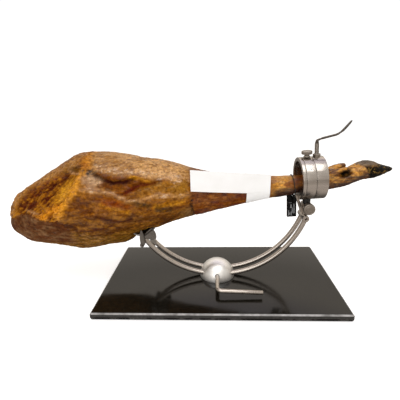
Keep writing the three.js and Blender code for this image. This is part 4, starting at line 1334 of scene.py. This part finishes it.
def build_light():
    """A white room for the eye, and for surfaces a room that is darker in front and below."""
    world = bpy.data.worlds.new("studio")
    bpy.context.scene.world = world
    world.use_nodes = True
    n = Nodes(world.node_tree)
    split = n.add("ShaderNodeSeparateXYZ")
    n.put(split.inputs["Vector"], n.add("ShaderNodeTexCoord").outputs["Generated"])
    height = n.remap(split.outputs["Z"], -1, 1, 0, 1)
    front, back = (n.ramp(height, *(((level + 1) / 2, colour) for level, colour in stops))
                   for stops in (ROOM_FRONT, ROOM_BACK))
    sides = n.mix(n.remap(split.outputs["Y"], -0.25, 0.25, 0, 1), front, back)
    room, soft, white = (n.node("ShaderNodeBackground", {"Color": colour, "Strength": strength})
                         for colour, strength in ((sides, 1.0), (ROOM_SOFT, 1.0), ((1, 1, 1), 1.05)))
    rays = n.add("ShaderNodeLightPath").outputs
    shiny = n.node("ShaderNodeMixShader", {0: rays["Is Glossy Ray"], 1: soft, 2: room})
    chosen = n.node("ShaderNodeMixShader", {0: rays["Is Camera Ray"], 1: shiny, 2: white})
    n.put(n.tree.nodes["World Output"].inputs["Surface"], chosen)
    add_area("key", (-0.1, -0.55, 1.75), (0, 0, 0.2), (1.7, 1.1), 13)
    add_area("fill", (-0.5, -1.7, 0.75), (-0.1, 0, 0.2), (1.2, 0.8), 5)


def add_area(name, place, target, size, power):
    data = bpy.data.lights.new(name, "AREA")
    data.shape = "RECTANGLE"
    data.size, data.size_y = size
    data.energy = power
    obj = link(name, data)
    obj.location = place
    obj.rotation_euler = (Vector(target) - Vector(place)).to_track_quat("-Z", "Y").to_euler()


def build_camera():
    yaw, pitch, roll = CAMERA_TURNS
    forward = Vector((-math.sin(yaw) * math.cos(pitch), math.cos(yaw) * math.cos(pitch), -math.sin(pitch)))
    right = Vector((math.cos(yaw), math.sin(yaw), 0))
    down = forward.cross(right)
    image_right = math.cos(roll) * right + math.sin(roll) * down
    image_down = -math.sin(roll) * right + math.cos(roll) * down
    data = bpy.data.cameras.new("camera")
    data.sensor_width = 36
    data.lens = FOCAL_PIXELS / FRAME_PIXELS * data.sensor_width
    camera = link("camera", data)
    axes = Matrix((image_right, -image_down, -forward)).transposed().to_4x4()
    camera.matrix_world = moved(*CAMERA_PLACE) @ axes
    bpy.context.scene.camera = camera


build_camera()
build_floor()
build_light()
steel = satin_steel()
rod_steel = satin_steel("rod_steel", (0.58, 0.53, 0.48), 0.27, "N", 0.35)
knob_steel = satin_steel("knob_steel", (0.39, 0.35, 0.31), 0.33, "N", 0.8)
ring_steel = satin_steel("ring_steel", (0.57, 0.525, 0.485), 0.24, "X", 0.7)
mirror = mirror_steel()
build_slab(granite())
build_hub(mirror)
build_lever(rod_steel)
build_rods(rod_steel)
build_ring(ring_steel, mirror)
build_lock_knob(knob_steel)
build_side_knob(knob_steel)
build_clamp_screw(satin_steel("screw_steel", (0.26, 0.23, 0.20), 0.34, "N", 0.8),
                  satin_steel("handle_steel", (0.10, 0.085, 0.07), 0.42, "N", 0.8))
build_nut(knob_steel)
build_bush(black_plastic())
build_end_bar(rod_steel)
# Painted shade: the cradle's steel is tinted much darker than the other steel for its place in the shade
# under the ham.
shaded_cradle_steel = satin_steel("shaded_cradle_steel", (0.25, 0.235, 0.22), 0.28, "N", 0.6)
build_saddle(shaded_cradle_steel)
build_wings(shaded_cradle_steel)
keep_node("cradle_cross_bar", shaded_cradle_steel, 0.5)
keep_node("cradle_link", shaded_cradle_steel, 0.5)
keep_node("ring_bracket", rod_steel, 0.6)
keep_node("hock_rest", steel, 0.3)
ham_skin = build_ham()
build_label(ham_skin, white_card())
build_tag(black_card(), grey_print())
build_cord(black_cord())

scene = bpy.context.scene
scene.view_settings.view_transform = "Standard"
